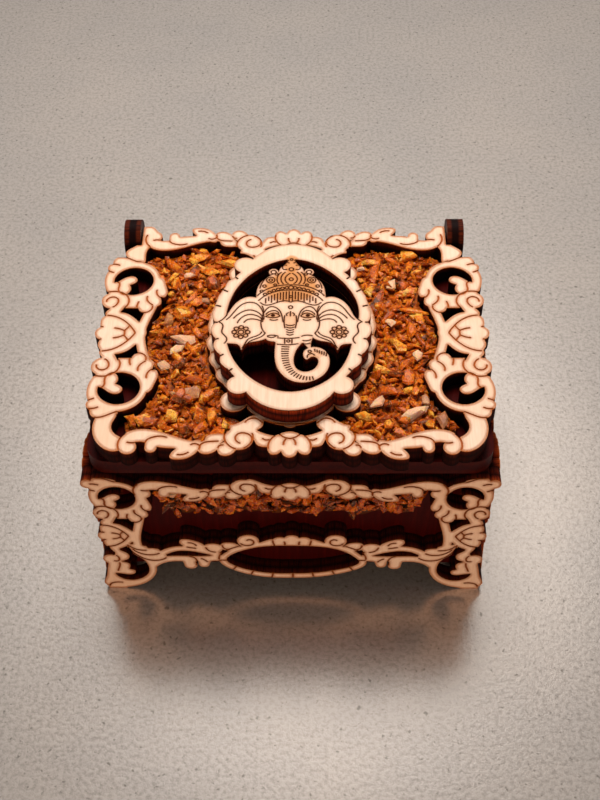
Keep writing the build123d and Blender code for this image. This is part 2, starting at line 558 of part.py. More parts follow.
# the main chips: middle, length, width and turn of each
lid_chips = [(17.7, 0.5, 3.2, 2.3, 20), (22.1, 1.2, 2.6, 2.0, 75), (19.4, 5.6, 3.4, 2.2, 130),
             (16.6, -5.0, 2.6, 2.0, 60), (21.0, -4.7, 2.8, 2.2, 10), (15.9, 9.6, 2.8, 2.0, 40),
             (19.3, 11.0, 2.4, 1.8, 100), (14.7, 14.6, 2.8, 2.2, 160), (20.0, 15.8, 3.4, 2.4, 15),
             (12.3, 19.3, 2.6, 2.0, 80), (17.3, 19.6, 3.0, 2.0, 30), (23.4, 18.4, 2.4, 1.8, 120),
             (17.8, -10.0, 3.2, 2.3, 110), (14.6, -14.9, 2.8, 2.1, 35), (19.9, -14.6, 3.0, 2.3, 70),
             (12.2, -19.2, 2.5, 2.0, 15), (17.2, -19.3, 2.9, 2.2, 140), (23.5, -18.3, 2.4, 1.9, 50)]
front_chips = [(2.4, 22.0, 2.6, 2.0, 10), (7.0, 24.0, 2.6, 2.2, 70), (11.6, 21.8, 2.8, 2.2, 160),
               (15.6, 23.4, 2.4, 1.8, 30), (19.4, 22.4, 2.8, 2.2, 120)]
chip_corners = [(-0.5, -0.28), (0.14, -0.5), (0.5, -0.06), (0.3, 0.46), (-0.36, 0.4)]


def stand_chips(plane, at, chips, side):
    """Stands chips with sloping sides out of a bed; side -1 sets them mirrored on the left."""
    for u, v, length, width, turn in chips:
        corners = [(side * x * length, y * width) for x, y in chip_corners]
        with BuildSketch(plane) as outline:
            with Locations(at(side * u, v)):
                Polygon(*corners[::side], rotation=side * turn, align=None)
        extrude(outline.sketch, amount=chip_rise, taper=20)


beds = {}
for side in (-1, 1):
    with BuildPart() as bed:
        with BuildSketch(Plane.XY.offset(panel_top)):
            with BuildLine():
                Polyline(*[lid_at(side * u, v) for u, v in quarter_bed], close=True)
            make_face()
            mirror(about=Plane.XZ)
        extrude(amount=stone_bed)
        stand_chips(Plane.XY.offset(panel_top + stone_bed), lid_at, lid_chips, side)
    beds[side] = bed
lid_stones_left, lid_stones_right = beds[-1], beds[1]
lid_stones_left.part.label = "lid_stones_left"
lid_stones_right.part.label = "lid_stones_right"

# ---------------------------------------------------------------- hinge pins, held in the lid
pins = []
for name, side in (("hinge_pin_left", -1), ("hinge_pin_right", 1)):
    with BuildPart() as pin:
        with BuildSketch(Plane.YZ.offset(side * (notch_x - pin_grip))):
            with Locations((hinge_y, hinge_z)):
                Circle(pin_diameter / 2)
        extrude(amount=side * (wall_x - pin_recess - notch_x + pin_grip))
    pin.part.label = name
    pins.append(pin)

# ---------------------------------------------------------------- walls and floor of the box
front_plane = Plane.XZ
back_plane = Plane(origin=(0, 0, 0), x_dir=(-1, 0, 0), z_dir=(0, 1, 0))
right_plane = Plane(origin=(0, 0, 0), x_dir=(0, 1, 0), z_dir=(1, 0, 0))
finger = wall_height / finger_count
floor_z = leg_height + sheet / 2


def fingers(side, reach, owned):
    """The fingers that a wall puts through the corner on one side (+1 or -1) of it."""
    for index in range(finger_count):
        if index % 2 == owned:
            with Locations((side * (reach - sheet / 2), leg_height + (index + 0.5) * finger)):
                Rectangle(sheet, finger - fit_gap)


def floor_slots(middles):
    """Slots that take the floor's tabs."""
    for middle in middles:
        with Locations((middle, floor_z)):
            Rectangle(floor_tab + 2 * fit_gap, sheet + 2 * fit_gap, mode=Mode.SUBTRACT)


def upright_wall(plane, face, reach, inner, owned, tabs):
    """A wall with its fingers and floor slots; owned says which fingers are its own."""
    with BuildPart() as wall:
        with BuildSketch(plane.offset(face)):
            with Locations((0, leg_height + wall_height / 2)):
                Rectangle(2 * inner, wall_height)
            for side in (-1, 1):
                fingers(side, reach, owned[side])
            floor_slots(tabs)
        extrude(amount=sheet)
    return wall.part


long_tabs = (-inside_x / 2, inside_x / 2)
short_tabs = (0,)
with BuildPart() as front_wall:
    add(upright_wall(front_plane, inside_y, wall_x, inside_x, {-1: 0, 1: 0}, long_tabs))
front_wall.part.label = "front_wall"
with BuildPart() as back_wall:
    add(upright_wall(back_plane, inside_y, wall_x, inside_x, {-1: 1, 1: 1}, long_tabs))
back_wall.part.label = "back_wall"

heel_z = 2 * hinge_z - lid_top - lid_stop_gap     # where the opened lid comes to rest
with BuildPart() as right_wall:
    add(upright_wall(right_plane, inside_x, wall_y, inside_y, {-1: 1, 1: 0}, short_tabs))
    # the ear: a round eye on a stem that rises behind the lid's notch, with a heel at its back
    with BuildSketch(right_plane.offset(inside_x)):
        with Locations((hinge_y, hinge_z)):
            Circle(ear_radius)
        with BuildLine():
            Polyline((wall_y - fit_gap, rim - ear_root), (hinge_y - ear_radius + 1.6, rim - ear_root))
            Spline((hinge_y - ear_radius + 1.6, rim - ear_root), (hinge_y + 1.2, rim - 2.4),
                   (hinge_y + heel_reach, heel_z - 1.4), tangents=[(1, 0.3), (0.4, 1)])
            Polyline((hinge_y + heel_reach, heel_z - 1.4), (hinge_y + heel_reach, heel_z),
                     (hinge_y + ear_radius, heel_z), (hinge_y + ear_radius, hinge_z),
                     (hinge_y - ear_radius, hinge_z), (hinge_y - ear_radius, rim), (wall_y - fit_gap, rim),
                     (wall_y - fit_gap, rim - ear_root))
        make_face()
        with Locations((hinge_y, hinge_z)):
            Circle(pin_diameter / 2 + pin_clearance, mode=Mode.SUBTRACT)
    extrude(amount=sheet)
right_wall.part.label = "right_wall"
with BuildPart() as left_wall:
    add(mirror(right_wall.part, about=Plane.YZ, mode=Mode.PRIVATE))
left_wall.part.label = "left_wall"

with BuildPart() as floor_panel:
    with BuildSketch(Plane.XY.offset(leg_height)):
        Rectangle(2 * (inside_x - fit_gap), 2 * (inside_y - fit_gap))
        for middle in long_tabs:
            with Locations((middle, 0)):
                Rectangle(floor_tab, 2 * wall_y)
        for middle in short_tabs:
            with Locations((0, middle)):
                Rectangle(2 * wall_x, floor_tab)
    extrude(amount=sheet)
floor_panel.part.label = "floor_panel"

# ---------------------------------------------------------------- fretwork of the four sides
upright_eye = 0.88       # size of the eyes on the sides beside those of the lid
side_middle = drawn_half_width - drawn_side


def front_at(u, z):
    return (u * kx, z * kz)


def leg(at):
    """The lower corner of a side: stem, small scroll, drop-shaped eye, foot and leaf group."""
    wood = [
        blob(at, (32.3, 8.6), (32.9, 5.6), (33.4, 3.4), (33.9, 1.8), (33.0, 0.35), (30.6, 0.1), (28.4, 0.6),
             (26.2, 1.9), (24.6, 4.1), (24.0, 6.6), (24.6, 8.8), (26.5, 10.5), (28.0, 12.4), (30.3, 13.0),
             (31.0, 10.6)),
        patch(at, (30.0, 0.0), (33.2, 0.0), (33.75, 2.0), (30.0, 2.0)),
        disc(at, 31.75, 9.4, 1.4),
        blob(at, (28.4, 14.1), (26.8, 13.9), (25.0, 12.9), (25.6, 12.2), (27.6, 11.8)),
        blob(at, (28.2, 13.4), (26.5, 12.9), (24.2, 12.8), (23.0, 12.3), (23.1, 11.2), (25.2, 10.7),
             (27.4, 11.2)),
        blob(at, (28.5, 13.8), (28.2, 11.9), (27.0, 10.2), (25.2, 9.0), (23.0, 8.9), (21.8, 9.8),
             (22.1, 11.0), (22.9, 11.9), (24.7, 11.4), (26.8, 12.2)),
    ]
    hole = blob(at, (29.6, 12.8), (28.4, 13.0), (27.7, 11.3), (26.3, 9.6), (25.45, 7.4), (25.6, 5.0),
                (26.9, 3.3), (28.6, 2.6), (30.5, 3.1), (31.5, 4.7), (31.0, 6.6), (30.4, 8.4), (28.8, 9.4),
                (28.75, 11.2))
    comma = [
        blob(at, (31.2, 8.9), (29.6, 8.5), (28.7, 7.8), (28.7, 6.8), (29.4, 6.0), (31.0, 5.9), (31.9, 7.4)),
        blob(at, (28.4, 6.0), (27.9, 5.5), (28.1, 4.8), (29.0, 4.4), (30.2, 4.65), (31.9, 5.3),
             (31.4, 6.4), (29.4, 6.7)),
    ]
    lines = [
        stroke(at, (30.75, 10.5), (30.3, 9.75), (30.45, 8.95), (31.3, 8.8)),
        stroke(at, (28.3, 13.9), (27.9, 12.0), (26.8, 10.4), (25.2, 9.2), (23.2, 9.1), (22.0, 9.9)),
        stroke(at, (27.6, 12.6), (26.0, 11.0), (24.2, 10.75), (23.1, 11.3)),
        stroke(at, (28.1, 13.6), (26.8, 12.4), (25.2, 12.2)),
        stroke(at, (30.4, 8.3), (30.5, 7.2), (30.8, 6.3), (31.0, 5.6)),
        stroke(at, (33.1, 0.65), (32.75, 1.4), (32.0, 1.8), (30.6, 1.75)),
    ]
    return wood, hole, comma, lines


def low_border(at):
    """Branches about a slit, leaf pairs, scrolls and an oval frame with a crown of three petals."""
    wood = [
        band(at, 1.45, (23.6, 10.6), (22.4, 11.4), (20.8, 12.4), (18.7, 12.75), (16.4, 12.35),
             (14.2, 11.5), (12.6, 10.6)),
        band(at, 1.75, (24.6, 7.4), (23.2, 8.8), (21.3, 9.5), (19.0, 9.55), (16.0, 9.5), (13.6, 9.7),
             (12.0, 9.9)),
        disc(at, 17.9, 7.5, 1.15),
        patch(at, (17.0, 7.4), (19.03, 7.6), (19.3, 9.2), (17.0, 9.6)),
        disc(at, 15.55, 7.8, 0.95),
        patch(at, (14.6, 7.8), (16.45, 7.8), (16.6, 9.6), (14.0, 9.6)),
        blob(at, (18.0, 12.7), (19.0, 13.8), (19.35, 14.9), (18.9, 15.5), (17.2, 15.3), (15.8, 14.5),
             (15.0, 13.3), (15.6, 12.2)),
        blob(at, (15.3, 12.8), (14.9, 13.9), (13.8, 14.25), (12.5, 13.9), (12.0, 13.0), (12.6, 11.6),
             (14.4, 11.6)),
        blob(at, (12.4, 13.6), (11.8, 14.45), (10.8, 14.6), (9.6, 14.2), (9.0, 13.2), (9.8, 12.2),
             (11.6, 12.2)),
        disc(at, 7.5, 15.0, 1.9),
        blob(at, (6.4, 13.2), (5.9, 14.2), (4.5, 15.2), (3.3, 15.6), (2.8, 14.8), (3.1, 13.8), (4.6, 13.4)),
        blob(at, (3.3, 13.9), (3.35, 15.3), (2.5, 16.2), (1.4, 16.1), (0.9, 15.2), (1.1, 13.9)),
        blob(at, (1.2, 13.9), (1.4, 15.6), (0.8, 16.6), (0.0, 16.85), (-0.8, 16.6), (-1.4, 15.6),
             (-1.2, 13.9)),
    ]
    frame = blob(at, *[(12.8 * cos(t), 9.2 + 5.8 * sin(t)) for t in eighths])
    window = blob(at, *[(11.5 * cos(t), 9.25 + 4.4 * sin(t)) for t in eighths])
    lines = [
        curl(at, 7.45, 14.9, 1.45, -0.4, -0.8),
        stroke(at, (1.25, 13.9), (1.2, 14.4), (1.35, 14.9)),
        stroke(at, (3.0, 13.7), (3.2, 14.5), (3.3, 15.2)),
        stroke(at, (17.9, 14.5), (17.0, 14.3), (16.5, 13.6)),
        stroke(at, (18.2, 13.2), (17.2, 12.9), (16.6, 12.8)),
        stroke(at, (14.9, 13.1), (14.3, 12.0), (13.3, 11.6)),
        stroke(at, (12.0, 13.8), (11.8, 12.9), (10.8, 12.4)),
        stroke(at, (17.0, 7.6), (16.7, 8.9), (17.2, 9.9), (18.0, 10.3)),
        stroke(at, (14.9, 8.5), (15.4, 9.2), (16.0, 9.6)),
        stroke(at, (9.2, 13.5), (11.2, 12.3), (12.5, 10.9), (12.8, 9.4)),
        stroke(at, (11.4, 9.1), (12.8, 9.1)),
    ]
    for along in (0.02, 3.6, 7.2, 10.3):
        drop = 1 - (along / 12.15) ** 2
        low = 9.2 - 5.1 * drop ** 0.5
        lean = along / 12.15
        lines.append(stroke(at, (along - 0.5 * lean, low + 0.75), (along + 0.5 * lean, low - 0.75)))
    return wood, frame, window, lines


def corner(at):
    """One end of a side: the eye at its top, the shell and bar at its middle, and the leg."""
    eye_wood, eye_hole, comma, eye_lines = eye(moved(at, 28.5, 27.5, upright_eye))
    shell_wood, shell_lines = shell(moved(at, 0, 16.55), 33.1, 3.2, 1.35)
    leg_wood, leg_hole, leg_comma, leg_lines = leg(at)
    wood = eye_wood + shell_wood + leg_wood + [
        disc(at, 32.85, 31.3, 1.1),
        band(at, 1.5, (25.2, 22.6), (25.85, 19.6), (26.45, 16.8), (26.5, 13.2)),
        band(at, 1.6, (30.9, 20.4), (31.2, 19.0)),
        band(at, 1.7, (30.6, 14.2), (30.6, 12.9), (29.8, 11.4), (29.6, 10.0), (30.4, 8.4)),
    ]
    return wood, [eye_hole, leg_hole], comma + leg_comma, eye_lines + shell_lines + leg_lines


rim_line = 51.2          # the lid's border is turned over about this line to hang from the rim
rim_squeeze = 0.945
rim_flatten = 0.92


def rim_border(u, v):
    """Where the border of the lid lands when it hangs below the rim of a side."""
    return (rim_squeeze * u * kx, (rim_line - rim_flatten * v) * kz)


def side_sheet(plane, wood, holes, inlays, frames, windows, lines, ear_cuts):
    """A side's fretwork: one sheet with its engraving, cut off at the rim and the floor."""
    with BuildPart() as piece:
        with BuildSketch(plane):
            add(wood)
            add(holes, mode=Mode.SUBTRACT)
            add(inlays + frames)
            add(windows, mode=Mode.SUBTRACT)
            with Locations((0, 0)):
                Rectangle(2 * box_width, leg_height, align=(Align.CENTER, Align.MAX), mode=Mode.SUBTRACT)
            with Locations((0, rim)):
                Rectangle(2 * box_width, leg_height, align=(Align.CENTER, Align.MIN), mode=Mode.SUBTRACT)
            add(ear_cuts, mode=Mode.SUBTRACT)
        extrude(amount=sheet)
        with BuildSketch(plane.offset(sheet)):
            add(lines)
        extrude(amount=-engraving_depth, mode=Mode.SUBTRACT)
    return piece.part


corner_wood, corner_holes, corner_commas, corner_lines = corner(front_at)
rim_wood, rim_lines = garland(rim_border)
scroll_wood, scroll_lines = s_scroll(rim_border)
low_wood, low_frame, low_window, low_lines = low_border(front_at)
long_wood = mirrored(corner_wood + rim_wood + scroll_wood + low_wood)
long_holes = mirrored(corner_holes)
long_inlays = mirrored(corner_commas)
long_lines = mirrored(corner_lines + rim_lines + scroll_lines + low_lines)
with BuildSketch() as ear_slots:
    for side in (-1, 1):
        with Locations((side * (inside_x + sheet / 2), rim - ear_root - ear_side_gap)):
            Rectangle(sheet + 2 * ear_side_gap, wall_height, align=(Align.CENTER, Align.MIN))

with BuildPart() as front_fretwork:
    add(side_sheet(front_plane.offset(wall_y), long_wood, long_holes, long_inlays, [low_frame],
                   [low_window], long_lines, []))
front_fretwork.part.label = "front_fretwork"
with BuildPart() as back_fretwork:
    add(side_sheet(back_plane.offset(wall_y), long_wood, long_holes, long_inlays, [low_frame],
                   [low_window], long_lines, ear_slots.sketch))
back_fretwork.part.label = "back_fretwork"


def side_at(u, z):
    return ((u - side_middle) * ks, z * kz)


def side_rim(u, v):
    return (u * ks, (rim_line - rim_flatten * v) * kz)


def side_low(u, z):
    return (u * ks, z * kz)


end_wood, end_holes, end_commas, end_lines = corner(side_at)
brief_wood, brief_lines = garland(side_rim)
arch_wood = [
    band(side_low, 1.6, (14.2, 9.0), (11.5, 10.8), (8.0, 12.2), (4.0, 12.9), (-0.6, 13.1)),
    band(side_low, 1.6, (14.6, 7.4), (12.0, 8.9), (8.0, 9.6), (4.0, 9.9), (-0.6, 10.0)),
    disc(side_low, 5.6, 8.2, 1.1),
    disc(side_low, 2.6, 8.7, 1.0),
    disc(side_low, 6.4, 14.3, 1.8),
    blob(side_low, (4.9, 13.6), (3.6, 14.8), (2.6, 15.2), (2.2, 14.2), (2.8, 12.8), (4.6, 12.6)),
    blob(side_low, (1.9, 13.0), (2.2, 14.8), (1.2, 16.4), (0.0, 16.9), (-1.2, 16.4), (-1.9, 13.0)),
]
arch_lines = [
    curl(side_low, 6.35, 14.2, 1.4, 0.4, 0.8),
    stroke(side_low, (2.3, 13.4), (2.2, 14.4), (1.7, 15.3)),
    stroke(side_low, (12.4, 10.6), (10.4, 11.6), (8.2, 12.2)),
]
short_wood = mirrored(end_wood + brief_wood + arch_wood)
short_holes = mirrored(end_holes)
short_inlays = mirrored(end_commas)
short_lines = mirrored(end_lines + brief_lines + arch_lines)
with BuildPart() as right_fretwork:
    add(side_sheet(right_plane.offset(wall_x), short_wood, short_holes, short_inlays, [], [], short_lines,
                   []))
right_fretwork.part.label = "right_fretwork"
with BuildPart() as left_fretwork:
    add(mirror(right_fretwork.part, about=Plane.YZ, mode=Mode.PRIVATE))
left_fretwork.part.label = "left_fretwork"

# ---------------------------------------------------------------- bed of chips under the front rim
half_bed = [(0.0, 26.1), (3.2, 26.6), (5.2, 27.6), (7.0, 27.6), (8.0, 26.6), (10.2, 26.0), (12.3, 26.4),
            (13.8, 26.4), (15.2, 25.7), (16.9, 25.3), (18.4, 26.0), (19.2, 27.0), (21.6, 26.8),
            (22.4, 26.2), (21.6, 22.4), (20.2, 20.2), (17.6, 19.6), (15.8, 20.8), (14.0, 20.4),
            (12.0, 19.3), (10.0, 19.6), (8.4, 20.8), (6.4, 20.2), (4.4, 20.6), (2.4, 19.6), (0.0, 20.8)]
with BuildPart() as front_stones:
    with BuildSketch(front_plane.offset(wall_y)):
        with BuildLine():
            Polyline(*[front_at(u, z) for u, z in half_bed], close=True)
        make_face()
        mirror(about=Plane.YZ)
    extrude(amount=stone_bed)
    for side in (-1, 1):
        stand_chips(front_plane.offset(wall_y + stone_bed), front_at, front_chips, side)
front_stones.part.label = "front_stones"

# ---------------------------------------------------------------- one file for each piece
pieces = [floor_panel, front_wall, back_wall, left_wall, right_wall, front_fretwork, back_fretwork,
          left_fretwork, right_fretwork, front_stones, lid_panel, lid_fretwork, medallion_plate,
          lid_stones_left, lid_stones_right, *pins]
boxes = [piece.part.bounding_box() for piece in pieces]
middle_y = (min(box.min.Y for box in boxes) + max(box.max.Y for box in boxes)) / 2
for piece in pieces:
    placed = piece.part.moved(Location((0, -middle_y, 0)))
    placed.label = piece.part.label
    export_step(placed, f"parts/{placed.label}.step")
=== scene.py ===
"""Looks of a laser-cut plywood dice box with a hinged lid and beds of amber stone chips."""
from math import cos, pi, radians, sin

import bpy
import numpy as np
from mathutils import Matrix, Vector


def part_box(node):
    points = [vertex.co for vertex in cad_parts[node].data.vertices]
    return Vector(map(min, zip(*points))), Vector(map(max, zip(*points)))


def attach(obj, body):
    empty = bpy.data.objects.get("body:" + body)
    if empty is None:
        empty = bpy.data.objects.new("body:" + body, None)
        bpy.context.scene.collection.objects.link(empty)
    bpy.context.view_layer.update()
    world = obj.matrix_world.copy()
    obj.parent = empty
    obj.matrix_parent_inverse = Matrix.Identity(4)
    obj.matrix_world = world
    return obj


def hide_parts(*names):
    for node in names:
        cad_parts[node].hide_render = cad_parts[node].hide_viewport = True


bl_info = {
    "name": "Dice box with amber chips",
    "version": (1, 0, 0),
    "blender": (4, 5, 0),
    "location": "3D View > Sidebar > Dice Box",
    "description": "Finishes the sheets, the chips and the stage of a laser-cut dice box",
    "category": "Add Mesh",
}

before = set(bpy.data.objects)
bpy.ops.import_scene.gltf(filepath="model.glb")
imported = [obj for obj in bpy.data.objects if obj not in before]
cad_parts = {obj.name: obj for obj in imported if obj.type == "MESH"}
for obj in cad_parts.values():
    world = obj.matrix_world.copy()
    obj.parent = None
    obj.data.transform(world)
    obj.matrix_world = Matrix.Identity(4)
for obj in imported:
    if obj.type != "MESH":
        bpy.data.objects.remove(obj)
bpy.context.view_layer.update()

MM = 0.001
LID_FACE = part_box("lid_fretwork")[1][2]          # outer face of the lid's fretwork
MEDALLION_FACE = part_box("medallion_plate")[1][2]
PANEL_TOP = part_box("lid_panel")[1][2]
FRONT_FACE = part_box("front_fretwork")[0][1]
FRONT_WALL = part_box("front_wall")[0][1]
BACK_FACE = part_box("back_fretwork")[1][1]
SIDE_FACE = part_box("right_fretwork")[1][0]
WALL_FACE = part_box("right_wall")[1][0]
MIDDLE_Y = (FRONT_FACE + BACK_FACE) / 2          # the ornament's own middle, in front of the origin


def paint(code):
    """A colour written as six hex digits, in linear light."""
    parts = [int(code[i:i + 2], 16) / 255 for i in (0, 2, 4)]
    return tuple(((c + 0.055) / 1.055) ** 2.4 if c > 0.04045 else c / 12.92 for c in parts)


# ---------------------------------------------------------------- material building
class Nodes:
    """A material's node tree, with short ways to add and join nodes."""

    def __init__(self, name):
        self.material = bpy.data.materials.new(name)
        self.material.use_nodes = True
        self.tree = self.material.node_tree
        self.tree.nodes.clear()
        self.shader = self.add("ShaderNodeBsdfPrincipled")
        output = self.add("ShaderNodeOutputMaterial")
        self.join(self.shader.outputs[0], output.inputs["Surface"])

    def add(self, kind, **settings):
        """A new node with its settings."""
        node = self.tree.nodes.new(kind)
        for key, value in settings.items():
            setattr(node, key, value)
        return node

    def join(self, source, target):
        """Joins an output to an input."""
        self.tree.links.new(source, target)

    def put(self, socket, value):
        """Joins an output to a socket, or sets the socket to a constant."""
        if isinstance(value, bpy.types.NodeSocket):
            self.join(value, socket)
        elif isinstance(value, tuple) and len(value) == 3 and socket.type == "RGBA":
            socket.default_value = (*value, 1.0)
        else:
            socket.default_value = value

    def surface(self, **values):
        """Sets or joins the shader's sockets; an underscore stands for a space in a socket's name."""
        for key, value in values.items():
            self.put(self.shader.inputs[key.replace("_", " ")], value)

    def math(self, operation, a, b):
        """One calculation with two values."""
        node = self.add("ShaderNodeMath", operation=operation)
        self.put(node.inputs[0], a)
        self.put(node.inputs[1], b)
        return node.outputs[0]

    def place(self, scale=(1.0, 1.0, 1.0)):
        """Object coordinates, each stretched by its own factor."""
        coords = self.add("ShaderNodeTexCoord")
        mapping = self.add("ShaderNodeMapping")
        mapping.inputs["Scale"].default_value = scale
        self.join(coords.outputs["Object"], mapping.inputs["Vector"])
        return mapping.outputs[0]

    def axis(self, letter):
        """One object coordinate in millimetres."""
        split = self.add("ShaderNodeSeparateXYZ")
        self.join(self.place((1 / MM, 1 / MM, 1 / MM)), split.inputs[0])
        return split.outputs["XYZ".index(letter)]

    def noise(self, vector, scale, detail, roughness=0.5, distortion=0.0):
        """A noise pattern from 0 to 1 over a vector in metres."""
        node = self.add("ShaderNodeTexNoise")
        self.join(vector, node.inputs["Vector"])
        for key, value in (("Scale", scale), ("Detail", detail), ("Roughness", roughness),
                           ("Distortion", distortion)):
            node.inputs[key].default_value = value
        return node.outputs["Fac"]

    def ramp(self, factor, *stops):
        """A colour ramp through (place, colour) stops; a colour may be one grey value."""
        node = self.add("ShaderNodeValToRGB")
        ramp = node.color_ramp
        while len(ramp.elements) < len(stops):
            ramp.elements.new(0.5)
        for element, (place, colour) in zip(ramp.elements, stops):
            element.position = place
            element.color = (*colour, 1.0) if isinstance(colour, tuple) else (colour,) * 3 + (1.0,)
        self.put(node.inputs["Fac"], factor)
        return node.outputs["Color"]

    def mix(self, factor, a, b):
        """Colour a where the factor is 0 and colour b where it is 1."""
        node = self.add("ShaderNodeMix", data_type="RGBA")
        self.put(node.inputs["Factor"], factor)
        colours = [socket for socket in node.inputs if socket.type == "RGBA"]
        self.put(colours[0], a)
        self.put(colours[1], b)
        return next(socket for socket in node.outputs if socket.type == "RGBA")

    def bump(self, height, strength, distance):
        """Relief in the shading from a pattern; distance is its height in metres."""
        node = self.add("ShaderNodeBump")
        node.inputs["Strength"].default_value = strength
        node.inputs["Distance"].default_value = distance
        self.join(height, node.inputs["Height"])
        self.join(node.outputs[0], self.shader.inputs["Normal"])


def coat_node(name, material):
    """Gives a part of the frame its material."""
    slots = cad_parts[name].material_slots
    for slot in slots:
        slot.material = material
    if not slots:
        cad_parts[name].data.materials.append(material)


# ---------------------------------------------------------------- mesh building
def make_object(name, points, faces, material):
    """A mesh object at the origin from an array of points and lists of faces."""
    mesh = bpy.data.meshes.new(name)
    mesh.from_pydata(points.reshape(-1, 3).tolist(), [], faces)
    mesh.validate()
    mesh.update()
    mesh.materials.append(material)
    made = bpy.data.objects.new(name, mesh)
    bpy.context.scene.collection.objects.link(made)
    return made


def make_piece(name, points, faces, material, body, replaced=()):
    """A piece of the box that moves with a body and may stand in for parts of the frame."""
    piece = make_object(name, points, faces, material)
    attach(piece, body)
    if replaced:
        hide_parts(*replaced)
    return piece


def grid_faces(index):
    """Quads between neighbouring rows and columns of an array of point numbers."""
    corners = [index[:-1, :-1], index[:-1, 1:], index[1:, 1:], index[1:, :-1]]
    return np.stack(corners, -1).reshape(-1, 4).tolist()


def between(lows, highs, columns):
    """Values in even steps from one limit to the other, a row for each pair of limits."""
    share = np.linspace(0, 1, columns)[None, :]
    return lows[:, None] * (1 - share) + highs[:, None] * share


def loft_faces(sections):
    """Faces of a closed solid through an array of loops (stations, corners, 3).

    Neighbouring loops are joined by quads, and the first and the last loop are capped.
    """
    index = np.arange(sections.shape[0] * sections.shape[1]).reshape(sections.shape[:2])
    a, b = index[:-1], index[1:]
    quads = np.stack([a, np.roll(a, -1, 1), np.roll(b, -1, 1), b], axis=-1).reshape(-1, 4)
    return quads.tolist() + [index[0][::-1].tolist(), index[-1].tolist()]


# ---------------------------------------------------------------- stone chips
SPOKES = 6
LEVELS = ((-0.5, 0.45), (-0.1, 1.0), (0.25, 0.9), (0.5, 0.5))    # height and width of a chip's rings
CUT_LEVEL = 0.4          # rings above this height are cut off by a slanted plane
SLANT = 0.45             # the steepest slope of that plane
TURN_STRAY = 0.4         # how far a spoke may turn, as a share of the angle between two
SPOKE_REACH = (0.5, 1.15)       # least and greatest reach of a spoke
RING_REACH = (0.88, 1.1)        # how much that differs from ring to ring
BREADTH = (0.55, 0.9)           # least and greatest breadth of a chip, as a share of its width
FLATNESS = (0.4, 0.8)    # least and greatest height of a scattered chip, as a share of its half width
ROW_GAP = 0.87           # distance of the scatter's rows, as a share of its spacing
JITTER = 0.38            # how far a chip strays from its place in the scatter, as a share of the spacing
FACET_STEP = 0.25        # how much a facet's tone may differ from its chip's
FIELD_END = 22.3         # how far the lid's fields reach forwards and backwards from the middle, in mm
STRIP_END = 22.3         # how far the front strip reaches sideways from the middle, in mm
RESIN_TOP = 1.15         # height of the resin on the lid's panel, in mm
RESIN_LOW = 0.02         # gap between the resin and the panel or wall behind it, in mm
FRONT_RESIN = 0.4        # how far the front resin stands out of the wall, in mm
FIELD_GRID = (120, 9)    # stations along the resin of a field, and columns across it
STRIP_GRID = (80, 6)     # the same for the front strip
FIELD_AREA = ((6 * MM, -23 * MM), (28 * MM, 23 * MM))      # where a field's chips are scattered
STRIP_AREA = ((-23 * MM, 18.5 * MM), (23 * MM, 29 * MM))   # the same for the front strip
UNEVEN = (-0.15, 0.25)   # how far a chip's height strays from its layer's, in mm
FRONT_GAP = 1.25 * MM    # spacing of the front chips
FRONT_WIDTHS = (0.6, 1.35)      # least and greatest half width of a scattered front chip, in mm
FRONT_OUT = (0.5, 1.3)          # least and greatest distance of a front chip's middle from the wall, in mm
FRONT_TONES = (0.75, 0.94, 1.0)     # the most yellow, cloudy and grey that a scattered front chip can be
FRONT_SEED = 5           # added to the seed for the front's own scatter
LARGE_HEIGHT = 2.3 * MM  # height of the largest stones' middles above the panel
BELOW_LID = 0.15 * MM    # how far the chips stay below the lid's outer face
ABOVE_PANEL = 0.05 * MM  # how far they stay above the lid's panel
BELOW_FRONT = 0.3 * MM   # how far the front chips stay behind the outer face
OFF_WALL = 0.03 * MM     # how far they stay in front of the wall


def chip_faces():
    """Faces of a chip: bands of quads between its rings and a flat cap at each end."""
    ring = np.arange(len(LEVELS) * SPOKES).reshape(-1, SPOKES)
    after = np.roll(ring, -1, axis=1)
    bands = np.stack([ring[:-1], after[:-1], after[1:], ring[1:]], -1).reshape(-1, 4)
    return bands, np.stack([ring[0][::-1], ring[-1]])


def turns_about(axes, angles):
    """Rotation matrices about unit axes by angles (Rodrigues' formula)."""
    x, y, z = axes.T
    zero = np.zeros_like(x)
    cross = np.stack([zero, -z, y, z, zero, -x, -y, x, zero], -1).reshape(-1, 3, 3)
    s, c = np.sin(angles)[:, None, None], np.cos(angles)[:, None, None]
    return np.eye(3) + s * cross + (1 - c) * cross @ cross


